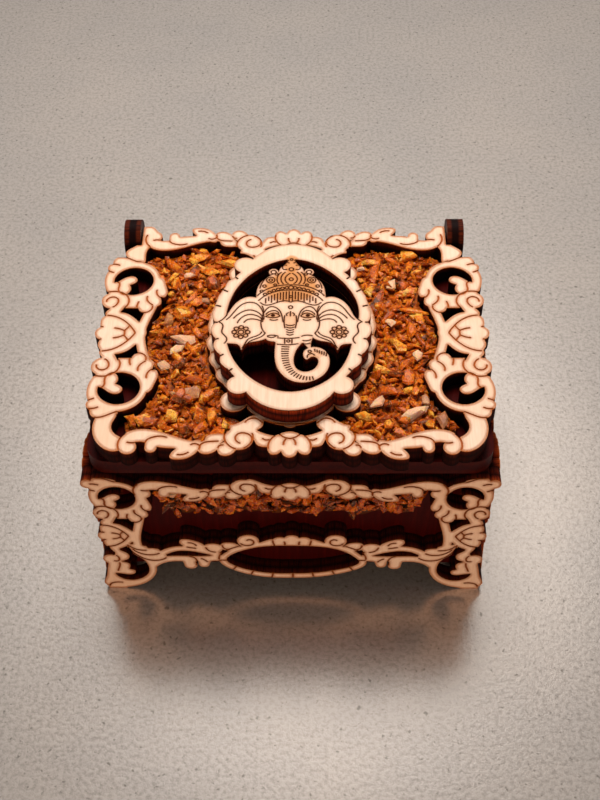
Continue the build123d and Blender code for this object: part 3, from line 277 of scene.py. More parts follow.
def chips(rng, spots, sizes, flatness, lean, length=(1.0, 1.7)):
    """Points of broken stone chips, an array (chips, points, 3).

    A chip is a stack of rings. A point's distance from the chip's axis is its ring's width times its
    spoke's own reach, so the sides are flat facets; the last ring is cut off by a slanted plane. The
    chip is then stretched by its length, flattened, turned about its axis, leaned by a normal spread
    of angles and moved to its spot. sizes holds half widths in metres.
    """
    count = len(spots)
    heights, widths = np.array(LEVELS).T
    turn = (np.arange(SPOKES) + rng.uniform(-TURN_STRAY, TURN_STRAY, (count, SPOKES))) * 2 * pi / SPOKES
    reach = rng.uniform(*SPOKE_REACH, (count, 1, SPOKES))
    radius = reach * rng.uniform(*RING_REACH, (count, len(LEVELS), SPOKES)) * widths[None, :, None]
    x = radius * np.cos(turn)[:, None, :] * rng.uniform(*length, (count, 1, 1))
    y = radius * np.sin(turn)[:, None, :] * rng.uniform(*BREADTH, (count, 1, 1))
    slant = rng.uniform(-SLANT, SLANT, (count, 2, 1, 1)) * (heights > CUT_LEVEL)[None, :, None]
    z = (heights[None, :, None] + slant[:, 0] * x + slant[:, 1] * y) * rng.uniform(*flatness, (count, 1, 1))
    points = np.stack([x, y, z], -1).reshape(count, -1, 3) * sizes[:, None, None]
    spin = turns_about(np.tile([0.0, 0.0, 1.0], (count, 1)), rng.uniform(0, 2 * pi, count))
    away = rng.uniform(0, 2 * pi, count)
    tip = turns_about(np.stack([np.cos(away), np.sin(away), 0 * away], -1), rng.normal(0, lean, count))
    return np.einsum("nij,ndj->ndi", tip @ spin, points) + spots[:, None, :]


def scatter(rng, low, high, spacing):
    """Jittered points on a triangular grid over a rectangle."""
    across = np.arange(low[0], high[0], spacing)
    along = np.arange(low[1], high[1], spacing * ROW_GAP)
    u, v = np.meshgrid(across, along)
    u = u + (np.arange(len(along)) % 2)[:, None] * spacing / 2
    spots = np.stack([u, v], -1).reshape(-1, 2)
    return spots + rng.uniform(-JITTER, JITTER, spots.shape) * spacing


def chip_piece(name, points, tones, material, body, rng):
    """One mesh of many chips. A face attribute holds each chip's tones: how yellow, how cloudy, how grey.

    The first of them goes up or down by a random step from facet to facet.
    """
    count, per_chip = points.shape[:2]
    shift = (np.arange(count) * per_chip)[:, None, None]
    faces, shades = [], []
    for kind in chip_faces():
        faces += (kind[None] + shift).reshape(-1, kind.shape[1]).tolist()
        shade = np.ones((count, len(kind), 4))
        shade[:, :, :3] = tones[:, None, :]
        shade[:, :, 0] += rng.uniform(-FACET_STEP, FACET_STEP, (count, len(kind)))
        shades.append(shade.reshape(-1, 4))
    piece = make_piece(name, points, faces, material, body)
    tone = piece.data.attributes.new("chip_tone", "FLOAT_COLOR", "FACE")
    tone.data.foreach_set("color", np.concatenate(shades).ravel())
    return piece


# Either field of the lid, in mm: its inner and its outer limit at each distance from the middle.
FIELD_INNER = ((0.0, 14.2), (3.0, 14.2), (6.0, 13.8), (9.0, 12.6), (12.0, 10.8), (13.5, 11.1), (15.0, 11.5),
               (16.5, 10.9), (17.4, 8.6), (18.4, 7.4), (19.5, 8.4), (21.0, 9.8), (22.4, 13.4))
FIELD_OUTER = ((0.0, 24.8), (3.0, 24.4), (4.5, 24.0), (6.0, 23.3), (7.5, 22.8), (9.0, 22.0), (10.5, 22.0),
               (12.0, 22.4), (13.5, 22.9), (15.0, 23.8), (16.5, 24.8), (18.0, 26.8), (19.5, 26.6),
               (20.6, 26.0), (21.2, 21.4), (22.4, 17.8))
# The lid's largest stones: x, y and half the width in mm, how yellow, cloudy or not, how grey.
LARGE_STONES = (
    (-17.2, 20.0, 2.1, 0.90, 0, 0), (-14.9, 16.4, 2.2, 0.95, 0, 0), (-18.8, 15.2, 1.5, 0.6, 1, 0.3),
    (-19.3, -2.7, 1.3, 0.9, 1, 0.2), (-21.4, -6.5, 1.4, 0.8, 1, 0.5), (-23.2, -18.3, 2.1, 1.0, 0, 0),
    (-10.4, -19.4, 1.4, 0.95, 0, 0), (-14.4, -19.8, 1.7, 0.72, 0, 0), (-16.2, -12.6, 1.7, 0.5, 1, 0.9),
    (-17.0, 8.6, 1.6, 0.85, 0, 0), (20.1, -16.2, 2.6, 0.9, 1, 0.0), (14.2, -14.5, 2.1, 0.9, 1, 0.35),
    (24.6, -18.4, 2.2, 0.3, 1, 1.0), (19.4, -9.0, 2.1, 0.35, 0, 0), (21.3, -4.1, 1.6, 0.9, 1, 0.1),
    (16.9, 3.6, 1.5, 0.9, 1, 0.2), (21.9, -14.0, 1.5, 0.5, 1, 0.8), (22.6, -19.2, 1.7, 0.85, 0, 0),
    (20.4, -12.2, 1.5, 0.75, 0, 0), (17.4, 12.6, 1.6, 0.9, 1, 0.3), (15.6, -19.2, 1.7, 0.9, 0, 0))
# The same for the front's largest stones, with their height in place of y.
FRONT_STONES = (
    (-19.4, 26.4, 1.5, 0.8, 1, 0.6), (-8.5, 23.4, 1.5, 1.0, 0, 0), (16.7, 22.8, 1.4, 1.0, 0, 0),
    (4.4, 23.2, 1.3, 0.8, 0, 0), (12.4, 22.6, 1.2, 0.85, 0, 0))
# The strip under the front rim, in mm: its lower and its upper limit at each distance from the middle.
STRIP_LOWER = ((0.0, 20.8), (2.4, 19.6), (4.4, 20.6), (6.4, 20.2), (8.4, 20.8), (10.0, 19.6), (12.0, 19.3),
               (14.0, 20.4), (15.8, 20.8), (17.6, 19.6), (20.2, 20.2), (21.6, 22.4), (22.4, 26.0))
STRIP_UPPER = ((0.0, 26.5), (3.2, 27.0), (5.2, 28.0), (7.0, 28.0), (8.0, 27.0), (10.2, 26.4), (12.3, 26.8),
               (13.8, 26.8), (15.2, 26.1), (16.9, 25.7), (18.4, 26.4), (19.2, 27.4), (21.6, 27.2),
               (22.4, 26.6))


def limit(curve, distance):
    """The limit at a distance from the middle, by straight lines between the curve's points."""
    places, values = np.array(curve).T
    return np.interp(np.abs(distance), places, values)


# ---------------------------------------------------------------- finishes
SHEET = 3.0              # thickness of the plywood in mm
ENGRAVED = 0.17          # a cut no deeper than this is an engraved line, in mm
SKIN = 0.03              # depth of a sheet's face, above which nothing counts as an edge, in mm
HALO = 0.85 * MM         # width of the toasted halo beside a cut
LINE_RIM = 0.22 * MM     # width of the darker rim beside a cut or an engraved line
RIM_BURN = 0.62          # how burnt that rim is, as a share of the line itself
GRAIN = 0.07             # scale of a grain pattern along the grain, as a share of its scale across it
# Ovals that the dense engraving of the medallion has toasted: x, y, half width and half height in mm, and
# strength. They are the crown and its tip, the ears' flowers, the eyes, and the trunk's root and tip.
MEDALLION_TOASTS = (
    (-0.2, 8.6, 6.1, 5.0, 0.85), (-0.2, 14.2, 1.8, 2.8, 0.8), (-8.4, -2.3, 1.7, 1.7, 0.5),
    (8.0, -2.3, 1.7, 1.7, 0.5), (-3.15, 1.6, 1.7, 1.1, 0.5), (2.75, 1.6, 1.7, 1.1, 0.5),
    (-0.2, 0.4, 1.3, 2.6, 0.35), (4.0, -7.4, 1.6, 1.2, 0.4))


def sheet_depth(build, letter, face, outward):
    """Depth below a sheet's outer face in millimetres; outward is 1 or -1 along the named axis."""
    return build.math("MULTIPLY", build.math("SUBTRACT", face / MM, build.axis(letter)), outward)


def edge_bend(build, radius):
    """The cosine of the turn that a rounded edge would give: 1 away from every edge, less near one."""
    bevel = build.add("ShaderNodeBevel", samples=6)
    bevel.inputs["Radius"].default_value = radius
    geometry = build.add("ShaderNodeNewGeometry")
    turned = build.add("ShaderNodeVectorMath", operation="DOT_PRODUCT")
    build.join(bevel.outputs[0], turned.inputs[0])
    build.join(geometry.outputs["Normal"], turned.inputs[1])
    return turned.outputs["Value"]


def face_grain(build, letter, scale, roughness, distortion):
    """The grain of the plywood's face: along Y on the lid, upright on the four sides."""
    stretch = (1.0, GRAIN, 1.0) if letter == "Z" else (1.0, 1.0, GRAIN)
    return build.noise(build.place(stretch), scale, 4.0, roughness, distortion)


def cut_stripes(build, letter, squash, scale):
    """The laser's fine stripes across the thickness of a cut edge."""
    stretch = [1.0, 1.0, 1.0]
    stretch["XYZ".index(letter)] = squash
    return build.noise(build.place(stretch), scale, detail=2.0, roughness=0.6)


def inside_oval(build, x, y, half_width, half_height):
    """The square of the distance from an oval's middle, as a share of its own reach."""
    across = build.math("DIVIDE", build.math("SUBTRACT", build.axis("X"), x), half_width)
    along = build.math("DIVIDE", build.math("SUBTRACT", build.axis("Y"), y + MIDDLE_Y / MM), half_height)
    return build.math("ADD", build.math("POWER", across, 2.0), build.math("POWER", along, 2.0))


def pale_sheet(name, letter, face, outward, colours, char_and_shade, burn, scorch, toasts=()):
    """Birch plywood, engraved and cut by laser: pale face, toasted rims, burnt and striped edges.

    char says how far the cut edges are blackened, by laser soot and on the lid partly by painted shade; burn
    how far the engraved lines are, and scorch how brown the halo beside the cuts is; toasts holds ovals that
    the laser has toasted all over.
    """
    build = Nodes(name)
    depth = sheet_depth(build, letter, face, outward)
    grain = face_grain(build, letter, scale=2600, roughness=0.6, distortion=0.4)
    patches = build.noise(build.place(), scale=90, detail=2.0, roughness=0.5)
    light = build.ramp(grain, (0.2, colours["face_shadow"]), (0.5, colours["face"]),
                       (0.8, colours["face_light"]))
    light = build.mix(build.ramp(patches, (0.42, 0.0), (0.62, 0.55)), light, colours["face_warm"])
    halo = build.ramp(edge_bend(build, HALO), (0.92, 1.0), (0.98, 0.8), (0.996, 0.4), (1.0, 0.0))
    rim = build.ramp(edge_bend(build, LINE_RIM), (0.86, 0.9), (0.96, 0.65), (0.995, 0.25), (1.0, 0.0))
    for *shape, strength in toasts:
        oval = build.math("ADD", inside_oval(build, *shape), build.math("MULTIPLY", patches, 0.5))
        light = build.mix(build.ramp(oval, (0.7, strength), (1.45, 0.0)), light, colours["scorched"])
    light = build.mix(build.math("MULTIPLY", halo, scorch), light, colours["toasted"])
    light = build.mix(rim, light, build.mix(RIM_BURN * burn, colours["groove_rim"], colours["groove_burnt"]))
    # Cut edges, from their rim inwards.
    stripes = cut_stripes(build, letter, 0.06, 5200)
    edge = build.ramp(build.math("DIVIDE", depth, SHEET),
                      (0.0, colours["edge_rim"]), (0.07, colours["edge_high"]), (0.30, colours["edge_mid"]),
                      (0.42, colours["edge_deep"]), (0.66, colours["edge_mid"]), (1.0, colours["edge_deep"]))
    edge = build.mix(build.ramp(stripes, (0.40, 0.0), (0.64, 0.8)), edge, colours["edge_soot"])
    # Blackened edges: laser soot, and where char is high, as on the lid, partly painted shade.
    edge = build.mix(char_and_shade, edge, colours["edge_soot"])
    # Engraved lines, which are cuts too but end just below the face.
    groove = build.ramp(depth, (0.04, colours["groove_rim"]), (0.14, colours["groove"]))
    groove = build.mix(burn, groove, colours["groove_burnt"])
    edge = build.mix(build.math("LESS_THAN", depth, ENGRAVED), edge, groove)
    cut = build.ramp(depth, (0.02, 0.0), (0.06, 1.0))
    build.surface(Base_Color=build.mix(cut, light, edge),
                  Roughness=build.ramp(cut, (0.0, 0.6), (1.0, 0.85)))
    build.shader.inputs["Specular IOR Level"].default_value = 0.2
    build.bump(grain, strength=0.12, distance=0.05 * MM)
    return build.material


def stained_sheet(name, letter, face, outward, colours, plies):
    """Plywood stained dark red-brown; plies says how far its edges show light plies and a dark core."""
    build = Nodes(name)
    grain = face_grain(build, letter, scale=1900, roughness=0.65, distortion=0.5)
    stain = build.ramp(grain, (0.28, colours["stain_deep"]), (0.55, colours["stain"]),
                       (0.75, colours["stain_light"]))
    depth = sheet_depth(build, letter, face, outward)
    ply, soot = colours["ply_rim"], colours["edge_soot"]
    layers = build.ramp(build.math("DIVIDE", depth, SHEET), (0.0, ply), (0.24, ply), (0.34, soot),
                        (0.68, soot), (0.78, ply), (1.0, ply))
    stripes = cut_stripes(build, letter, 0.05, 3800)
    layers = build.mix(build.ramp(stripes, (0.42, 0.0), (0.66, 0.85)), layers, soot)
    inside = build.math("MULTIPLY", build.math("GREATER_THAN", depth, SKIN),
                        build.math("LESS_THAN", depth, SHEET - SKIN))
    build.surface(Base_Color=build.mix(build.math("MULTIPLY", inside, plies), stain, layers),
                  Roughness=0.55)
    build.shader.inputs["Specular IOR Level"].default_value = 0.2
    build.bump(grain, strength=0.18, distance=0.05 * MM)
    return build.material


def pin_steel(colours):
    """Drawn steel wire with fine rings around it."""
    build = Nodes("pin_steel")
    rings = build.noise(build.place((1.0, 0.05, 0.05)), scale=9000, detail=2.0)
    build.surface(Base_Color=build.ramp(rings, (0.3, colours["steel_dark"]), (0.7, colours["steel"])),
                  Metallic=1.0, Roughness=build.ramp(rings, (0.3, 0.28), (0.7, 0.42)))
    build.bump(rings, strength=0.1, distance=0.02 * MM)
    return build.material


def chip_stone(name, colours, painted_shade=0.0):
    """Amber stone: clouds that run through the whole mass, each chip's own tone, painted glints of pale
    highlight, and a wet gloss.

    The attribute chip_tone says how yellow, how cloudy and how grey a chip is. deep says how much darker
    than the lid's the stones are painted, as painted shade for the front chips under the rim.
    """
    build = Nodes(name)
    attribute = build.add("ShaderNodeAttribute", attribute_name="chip_tone", attribute_type="GEOMETRY")
    split = build.add("ShaderNodeSeparateColor")
    build.join(attribute.outputs["Color"], split.inputs[0])
    yellow, cloudiness, grey = split.outputs
    clouds = build.noise(build.place(), scale=380, detail=5.0, roughness=0.7, distortion=0.6)
    veins = build.noise(build.place(), scale=1500, detail=3.0, roughness=0.6, distortion=2.0)
    mass = build.ramp(clouds, (0.40, -0.1), (0.60, 1.1))
    value = build.math("ADD", build.math("MULTIPLY", yellow, 0.6), build.math("MULTIPLY", mass, 0.4))
    # Painted shade: the tone is lowered for stones that sit in dim light.
    value = build.math("SUBTRACT", value, painted_shade)
    tone = build.ramp(value, (0.0, colours["chip_black"]), (0.12, colours["chip_brown"]),
                      (0.30, colours["chip_red"]), (0.50, colours["chip_amber"]),
                      (0.72, colours["chip_orange"]), (0.95, colours["chip_yellow"]))
    tone = build.mix(build.ramp(veins, (0.52, 0.0), (0.60, 0.7)), tone, colours["chip_brown"])
    tone = build.mix(build.ramp(veins, (0.34, 0.7), (0.42, 0.0)), tone, colours["chip_orange"])
    # Painted glints: pale specks in the colour stand in for highlights on the facets.
    painted_glints = build.noise(build.place(), scale=4200, detail=2.0, roughness=0.6)
    tone = build.mix(build.ramp(painted_glints, (0.66, 0.0), (0.70, 0.6)), tone, colours["chip_pale"])
    greyness = build.math("ADD", build.ramp(grey, (0.2, 0.0), (1.0, 0.8)),
                          build.ramp(veins, (0.4, 0.0), (0.6, 0.12)))
    cloudy = build.mix(greyness, colours["chip_pale"], colours["chip_grey"])
    tone = build.mix(build.ramp(cloudiness, (0.94, 0.0), (0.955, 0.62)), tone, cloudy)
    build.surface(Base_Color=tone, Roughness=build.ramp(veins, (0.35, 0.1), (0.65, 0.3)), IOR=1.54,
                  Subsurface_Weight=0.4, Subsurface_Scale=0.6 * MM, Coat_Weight=0.35, Coat_Roughness=0.05)
    build.shader.inputs["Subsurface Radius"].default_value = (1.0, 0.4, 0.12)
    build.shader.inputs["Specular IOR Level"].default_value = 0.5
    build.bump(veins, strength=0.3, distance=0.2 * MM)
    return build.material


def resin_bed(name, colours, clear):
    """Amber resin under the chips; clear says how much of the resin's own colour shows, and the rest is
    painted shade towards near-black.
    """
    build = Nodes(name)
    cloud = build.noise(build.place(), scale=700, detail=4.0, roughness=0.6, distortion=0.4)
    tone = build.ramp(cloud, (0.35, colours["resin_deep"]), (0.62, colours["resin"]))
    # Painted shade: a clear share below 1 darkens the resin towards the near-black stone colour.
    build.surface(Base_Color=build.mix(clear, colours["chip_black"], tone), Roughness=0.4)
    build.shader.inputs["Specular IOR Level"].default_value = 0.25
    build.bump(cloud, strength=0.5, distance=0.2 * MM)
    return build.material


def floor_finish(colours):
    """A pale polished worktop: soft mottling, fine dark speckles and a blurred gloss."""
    build = Nodes("worktop")
    broad = build.noise(build.place(), scale=30, detail=4.0, roughness=0.6)
    fine = build.noise(build.place(), scale=1300, detail=3.0, roughness=0.7)
    speck = build.noise(build.place(), scale=1000, detail=2.0, roughness=0.5)
    tone = build.ramp(broad, (0.35, colours["floor_cool"]), (0.65, colours["floor_warm"]))
    tone = build.mix(build.ramp(fine, (0.36, 0.4), (0.56, 0.0)), tone, colours["floor_shadow"])
    tone = build.mix(build.ramp(speck, (0.27, 0.85), (0.36, 0.0)), tone, colours["floor_shadow"])
    build.surface(Base_Color=tone, Roughness=build.ramp(fine, (0.35, 0.16), (0.65, 0.24)), Metallic=0.42)
    build.shader.inputs["Specular IOR Level"].default_value = 0.6
    build.bump(fine, strength=0.12, distance=0.3 * MM)
    return build.material


# ---------------------------------------------------------------- settings
def colour_setting(label, description, code):
    """A colour that the user may change; its default is written as six hex digits."""
    return bpy.props.FloatVectorProperty(name=label, description=description, subtype="COLOR", size=3,
                                         min=0.0, max=1.0, default=paint(code))


def length_setting(label, description, default, least):
    """A length in metres that the user may change."""
    return bpy.props.FloatProperty(name=label, description=description, default=default, min=least,
                                   subtype="DISTANCE", unit="LENGTH")


def power_setting(label, description, default):
    """A lamp's power in watts that the user may change."""
    return bpy.props.FloatProperty(name=label, description=description, default=default, min=0.0,
                                   unit="POWER")


class DiceBoxColours(bpy.types.PropertyGroup):
    """Colours of the wood, the stones, the pins and the worktop."""
    face: colour_setting("Face", "Pale face of the plywood", "F0CBAF")
    face_light: colour_setting("Face light", "Lightest grain of the face", "F6D8C1")
    face_shadow: colour_setting("Face grain", "Darker grain of the face", "E4B99A")
    face_warm: colour_setting("Face warm", "Warmer patches of the face", "EDBE9B")
    toasted: colour_setting("Toasted rim", "Halo beside every cut and engraved line", "A45620")
    scorched: colour_setting("Scorched", "Wood between dense engraved lines", "CE8440")
    groove_rim: colour_setting("Groove rim", "Rim of an engraved line", "B86A34")
    groove: colour_setting("Groove", "Bottom of an engraved line", "AC5520")
    groove_burnt: colour_setting("Burnt groove", "Deeply burnt engraved line", "2C0C02")
    edge_rim: colour_setting("Edge rim", "Cut edge where it meets the face", "A5551F")
    edge_high: colour_setting("Edge high", "Cut edge just below the face", "A03A12")
    edge_mid: colour_setting("Edge middle", "Cut edge in a ply", "6A1E0A")
    edge_deep: colour_setting("Edge glue line", "Cut edge at a glue line", "2A0803")
    # Soot of the cut edges; on the lid's edges it also serves as painted shade.
    edge_soot: colour_setting("Soot", "Darkest stripes of a cut edge", "120302")
    ply_rim: colour_setting("Ply", "Outer plies on the edges of a stained sheet", "4E1A08")
    stain: colour_setting("Stain", "Dark stain", "380402")
    stain_deep: colour_setting("Stain deep", "Darkest grain of the stain", "2A0301")
    stain_light: colour_setting("Stain light", "Lightest grain of the stain", "4A0D06")
    # Almost black stone; also the colour that the painted shade on the front resin and front chips darkens
    # towards.
    chip_black: colour_setting("Chip black", "Almost black stone", "3E1A02")
    chip_brown: colour_setting("Chip brown", "Darkest stone", "783304")
    chip_red: colour_setting("Chip red", "Red-brown stone", "A84006")
    chip_amber: colour_setting("Chip amber", "Amber stone", "D2600A")
    chip_orange: colour_setting("Chip orange", "Orange stone", "E67A12")
    chip_yellow: colour_setting("Chip yellow", "Yellow stone", "F8B244")
    # Whitish stone of the cloudy chips, and also the colour of the painted glints on every chip.
    chip_pale: colour_setting("Chip pale", "Whitish stone", "FBD8B4")
    chip_grey: colour_setting("Chip grey", "Greyish stone", "805028")
    resin: colour_setting("Resin", "Resin under the stones", "B8580E")
    resin_deep: colour_setting("Resin deep", "Darkest resin", "642606")
    steel: colour_setting("Steel", "Lighter rings of the pins", "9A9896")
    steel_dark: colour_setting("Steel dark", "Darker rings of the pins", "6E6C6A")
    floor_warm: colour_setting("Worktop warm", "Warmer parts of the worktop", "DACDC3")
    floor_cool: colour_setting("Worktop cool", "Cooler parts of the worktop", "D2C7BF")
    floor_shadow: colour_setting("Worktop specks", "Specks of the worktop", "8E857C")


class DiceBoxChips(bpy.types.PropertyGroup):
    """Spacing and sizes of the scattered stone chips on the lid, and the seed of every scatter."""
    base_gap: length_setting("Lower spacing", "Spacing of the lower layer of chips", 0.85 * MM, 0.5 * MM)
    middle_gap: length_setting("Middle spacing", "Spacing of the middle layer of chips", 1.45 * MM, 0.5 * MM)
    top_gap: length_setting("Upper spacing", "Spacing of the upper layer of chips", 3.2 * MM, 0.5 * MM)
    small: length_setting("Small chip", "Half the width of the smallest chips", 0.42 * MM, 0.1 * MM)
    large: length_setting("Large chip", "Half the width of the largest scattered chips", 2.1 * MM, 0.1 * MM)
    seed: bpy.props.IntProperty(name="Seed", description="Which scatter is used", default=11, min=0)


class DiceBoxStage(bpy.types.PropertyGroup):
    """Camera, lights and worktop."""
    lens: bpy.props.FloatProperty(name="Lens", description="Focal length", default=54.3, min=10.0,
                                  unit="CAMERA")
    key_power: power_setting("Key light", "Power of the light above the box", 0.98)
    back_power: power_setting("Back light", "Power of the light behind the box", 0.30)
    fill_power: power_setting("Fill light", "Power of the light in front of the box", 0.062)
    side_power: power_setting("Side lights", "Power of each light beside the box", 0.022)
    sky: bpy.props.FloatProperty(name="Sky", description="Strength of the even light", default=0.11, min=0.0)


def palette():
    """The colour settings as a dictionary of plain tuples."""
    colours = bpy.context.scene.dice_box_colours
    return {key: tuple(getattr(colours, key)) for key in DiceBoxColours.__annotations__}


# ---------------------------------------------------------------- operators
CAMERA_PLACE = (4.6 * MM, -141.9 * MM, 187.7 * MM)     # from the ornament's middle, at table height
CAMERA_TURNS = radians(-1.37), radians(49.42), radians(1.02)   # to the right, down, and tilted
FLOOR_REACH = 0.9                                      # half the width of the worktop
FLOOR_BACK = 0.3                                       # how far its middle lies behind the box
AIM = (0, 0, 0.02)                                     # the point that every lamp faces
WHITE, AMBER = (1.0, 0.98, 0.95), (1.0, 0.74, 0.54)    # the lamps' colours
SKY = (1.0, 0.985, 0.96)                               # the even light's colour


class DICEBOX_OT_stage(bpy.types.Operator):
    """Adds the worktop, the lights and the camera."""
    bl_idname = "dicebox.stage"
    bl_label = "Stage"

    def execute(self, context):
        stage = context.scene.dice_box_stage
        camera = bpy.data.cameras.new("view_camera")
        camera.lens = stage.lens
        camera.clip_start = 0.005
        view = bpy.data.objects.new("view_camera", camera)
        context.scene.collection.objects.link(view)
        context.scene.camera = view
        yaw, pitch, roll = CAMERA_TURNS
        ahead = Vector((sin(yaw) * cos(pitch), cos(yaw) * cos(pitch), -sin(pitch)))
        right = Vector((cos(yaw), -sin(yaw), 0.0))
        down = ahead.cross(right)
        right, down = (cos(roll) * right + sin(roll) * down, cos(roll) * down - sin(roll) * right)
        x, y, z = CAMERA_PLACE
        view.matrix_world = Matrix.Translation((x, MIDDLE_Y + y, z)) @ Matrix(
            (right, -down, -ahead)).transposed().to_4x4()

        steps = np.linspace(-FLOOR_REACH, FLOOR_REACH, 3)
        u, v = np.meshgrid(steps, steps)
        points = np.stack([u, v + FLOOR_BACK, 0 * u], -1)
        faces = grid_faces(np.arange(u.size).reshape(u.shape))
        floor = make_object("worktop", points, faces, floor_finish(palette()))

        # name, place, size, spread in degrees, power, colour, seen in reflections
        lights = (("key", (0.0, 0.11, 0.30), 0.15, 180, stage.key_power, WHITE, False),
                  ("back", (0.0, 0.24, 0.36), 0.30, 180, stage.back_power, WHITE, True),
                  ("fill", (0.0, -0.80, 0.11), 0.14, 24, stage.fill_power, AMBER, False),
                  ("left", (-0.60, 0.05, 0.20), 0.20, 50, stage.side_power, WHITE, False),
                  ("right", (0.60, 0.05, 0.20), 0.20, 50, stage.side_power, WHITE, False))
        for name, place, size, spread, power, colour, mirrored in lights:
            light = bpy.data.lights.new(name, "AREA")
            light.shape = "DISK"
            light.size, light.energy, light.color, light.spread = size, power, colour, radians(spread)
            lamp = bpy.data.objects.new(name, light)
            lamp.location = place
            lamp.visible_glossy = mirrored
            lamp.rotation_euler = (Vector(AIM) - Vector(place)).to_track_quat("-Z", "Y").to_euler()
            context.scene.collection.objects.link(lamp)
        world = bpy.data.worlds.new("sky")
        world.use_nodes = True
        background = world.node_tree.nodes["Background"]
        background.inputs["Color"].default_value = (*SKY, 1.0)
        background.inputs["Strength"].default_value = stage.sky
        context.scene.world = world
        context.scene.view_settings.view_transform = "Standard"
        return {"FINISHED"}


class DICEBOX_OT_sheets(bpy.types.Operator):
    """Finishes the pale fretwork, the medallion, the stained sheets and the pins."""
    bl_idname = "dicebox.sheets"
    bl_label = "Plywood sheets and pins"

    def execute(self, context):
        colours = palette()
        # part, axis and place of its outer face, direction, blackened edges (laser soot, on the lid partly
        # painted shade), burnt lines, toasted halo
        for node, letter, face, outward, char_and_shade, burn, scorch in (
                # The lid's edges are blackened the most, with laser soot plus painted shade for its shaded
                # front edges; the lit medallion's edges are blackened the least.
                ("lid_fretwork", "Z", LID_FACE, 1, 0.8, 0.1, 0.95),
                ("medallion_plate", "Z", MEDALLION_FACE, 1, 0.0, 0.95, 0.55),
                ("front_fretwork", "Y", FRONT_FACE, -1, 0.3, 0.5, 0.9),
                ("back_fretwork", "Y", BACK_FACE, 1, 0.3, 0.5, 0.9),
                ("left_fretwork", "X", -SIDE_FACE, -1, 0.3, 0.5, 0.9),
                ("right_fretwork", "X", SIDE_FACE, 1, 0.3, 0.5, 0.9)):
            toasts = MEDALLION_TOASTS if node == "medallion_plate" else ()
            coat_node(node, pale_sheet(f"pale_{node}", letter, face, outward, colours, char_and_shade, burn, scorch,
                                       toasts))
        # part, axis and place of its outer face, direction, how far its edges show the plies
        for node, letter, face, outward, plies in (
                ("lid_panel", "Z", PANEL_TOP, 1, 0.25),
                ("floor_panel", "Z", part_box("floor_panel")[1][2], 1, 0.0),
                ("front_wall", "Y", FRONT_WALL, -1, 0.0),
                ("back_wall", "Y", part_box("back_wall")[1][1], 1, 0.0),
                ("left_wall", "X", -WALL_FACE, -1, 1.0),
                ("right_wall", "X", WALL_FACE, 1, 1.0)):
            coat_node(node, stained_sheet(f"stained_{node}", letter, face, outward, colours, plies))
        steel = pin_steel(colours)
        for node in ("hinge_pin_left", "hinge_pin_right"):
            coat_node(node, steel)
        return {"FINISHED"}


class DICEBOX_OT_lid_chips(bpy.types.Operator):
    """Fills both fields of the lid with stone chips on a bed of resin."""
    bl_idname = "dicebox.lid_chips"
    bl_label = "Chips in the lid"

    def execute(self, context):
        colours, sizes = palette(), context.scene.dice_box_chips
        stone, resin = chip_stone("chip_stone", colours), resin_bed("resin_bed", colours, 1.0)
        for side, label in ((-1, "left"), (1, "right")):
            rng = np.random.default_rng(sizes.seed + side)
            # spacing, least and greatest half width, height, distance to the fretwork, lean, least and
            # greatest yellowness, limit of cloudiness
            layers = ((sizes.base_gap, sizes.small, 0.75 * MM, 1.0 * MM, 0.1, 0.7, 0.0, 0.8, 0.91),
                      (sizes.middle_gap, 0.6 * MM, 1.15 * MM, 1.45 * MM, 0.3, 0.65, -0.1, 0.95, 0.92),
                      (sizes.top_gap, 1.1 * MM, sizes.large, 1.9 * MM, 1.2, 0.38, 0.0, 1.1, 1.0))
            clouds, tones = [], []
            for gap, smallest, largest, height, reach, lean, dull, bright, cloudy in layers:
                spots = scatter(rng, *FIELD_AREA, gap)
                across, along = spots[:, 0] / MM, spots[:, 1] / MM
                kept = ((across > limit(FIELD_INNER, along) + reach) & (np.abs(along) < FIELD_END)
                        & (across < limit(FIELD_OUTER, along) - reach))
                spots = spots[kept]
                rise = PANEL_TOP + height + rng.uniform(*UNEVEN, len(spots)) * MM
                spots = np.column_stack([side * spots[:, 0], spots[:, 1] + MIDDLE_Y, rise])
                widths = rng.uniform(smallest, largest, len(spots))
                clouds.append(chips(rng, spots, widths, FLATNESS, lean))
                own = rng.uniform(0, 1, (len(spots), 3))
                own[:, 0] = dull + (bright - dull) * own[:, 0]
                own[:, 1] *= cloudy
                tones.append(own)
            large = np.array([row for row in LARGE_STONES if row[0] * side > 0])
            spots = np.column_stack([large[:, :2] * MM + (0, MIDDLE_Y),
                                     np.full(len(large), PANEL_TOP + LARGE_HEIGHT)])
            clouds.append(chips(rng, spots, large[:, 2] * MM, flatness=(0.35, 0.5), lean=0.22,
                                length=(0.9, 1.15)))
            tones.append(large[:, 3:])
            points = np.concatenate(clouds)
            top = points[:, :, 2].max(axis=1)
            points[:, :, 2] -= np.maximum(top - LID_FACE + BELOW_LID, 0.0)[:, None]
            points[:, :, 2] = np.maximum(points[:, :, 2], PANEL_TOP + ABOVE_PANEL)
            chip_piece(f"lid_chips_{label}", points, np.concatenate(tones), stone, "lid", rng)

            # The resin: each loop goes out along its upper side and back along its lower one.
            along = np.linspace(-FIELD_END, FIELD_END, FIELD_GRID[0])
            x = between(limit(FIELD_INNER, along), limit(FIELD_OUTER, along), FIELD_GRID[1])
            y = np.broadcast_to(along[:, None], x.shape)
            upper = np.stack([side * x, y, np.full_like(x, RESIN_TOP)], -1)
            lower = upper * (1, 1, 0) + (0, 0, RESIN_LOW)
            loops = np.concatenate([upper, lower[:, ::-1]], axis=1) * MM + (0, MIDDLE_Y, PANEL_TOP)
            loops = loops if side < 0 else loops[:, ::-1]
            make_piece(f"resin_bed_{label}", loops, loft_faces(loops), resin, "lid",
                       (f"lid_stones_{label}",))
        return {"FINISHED"}


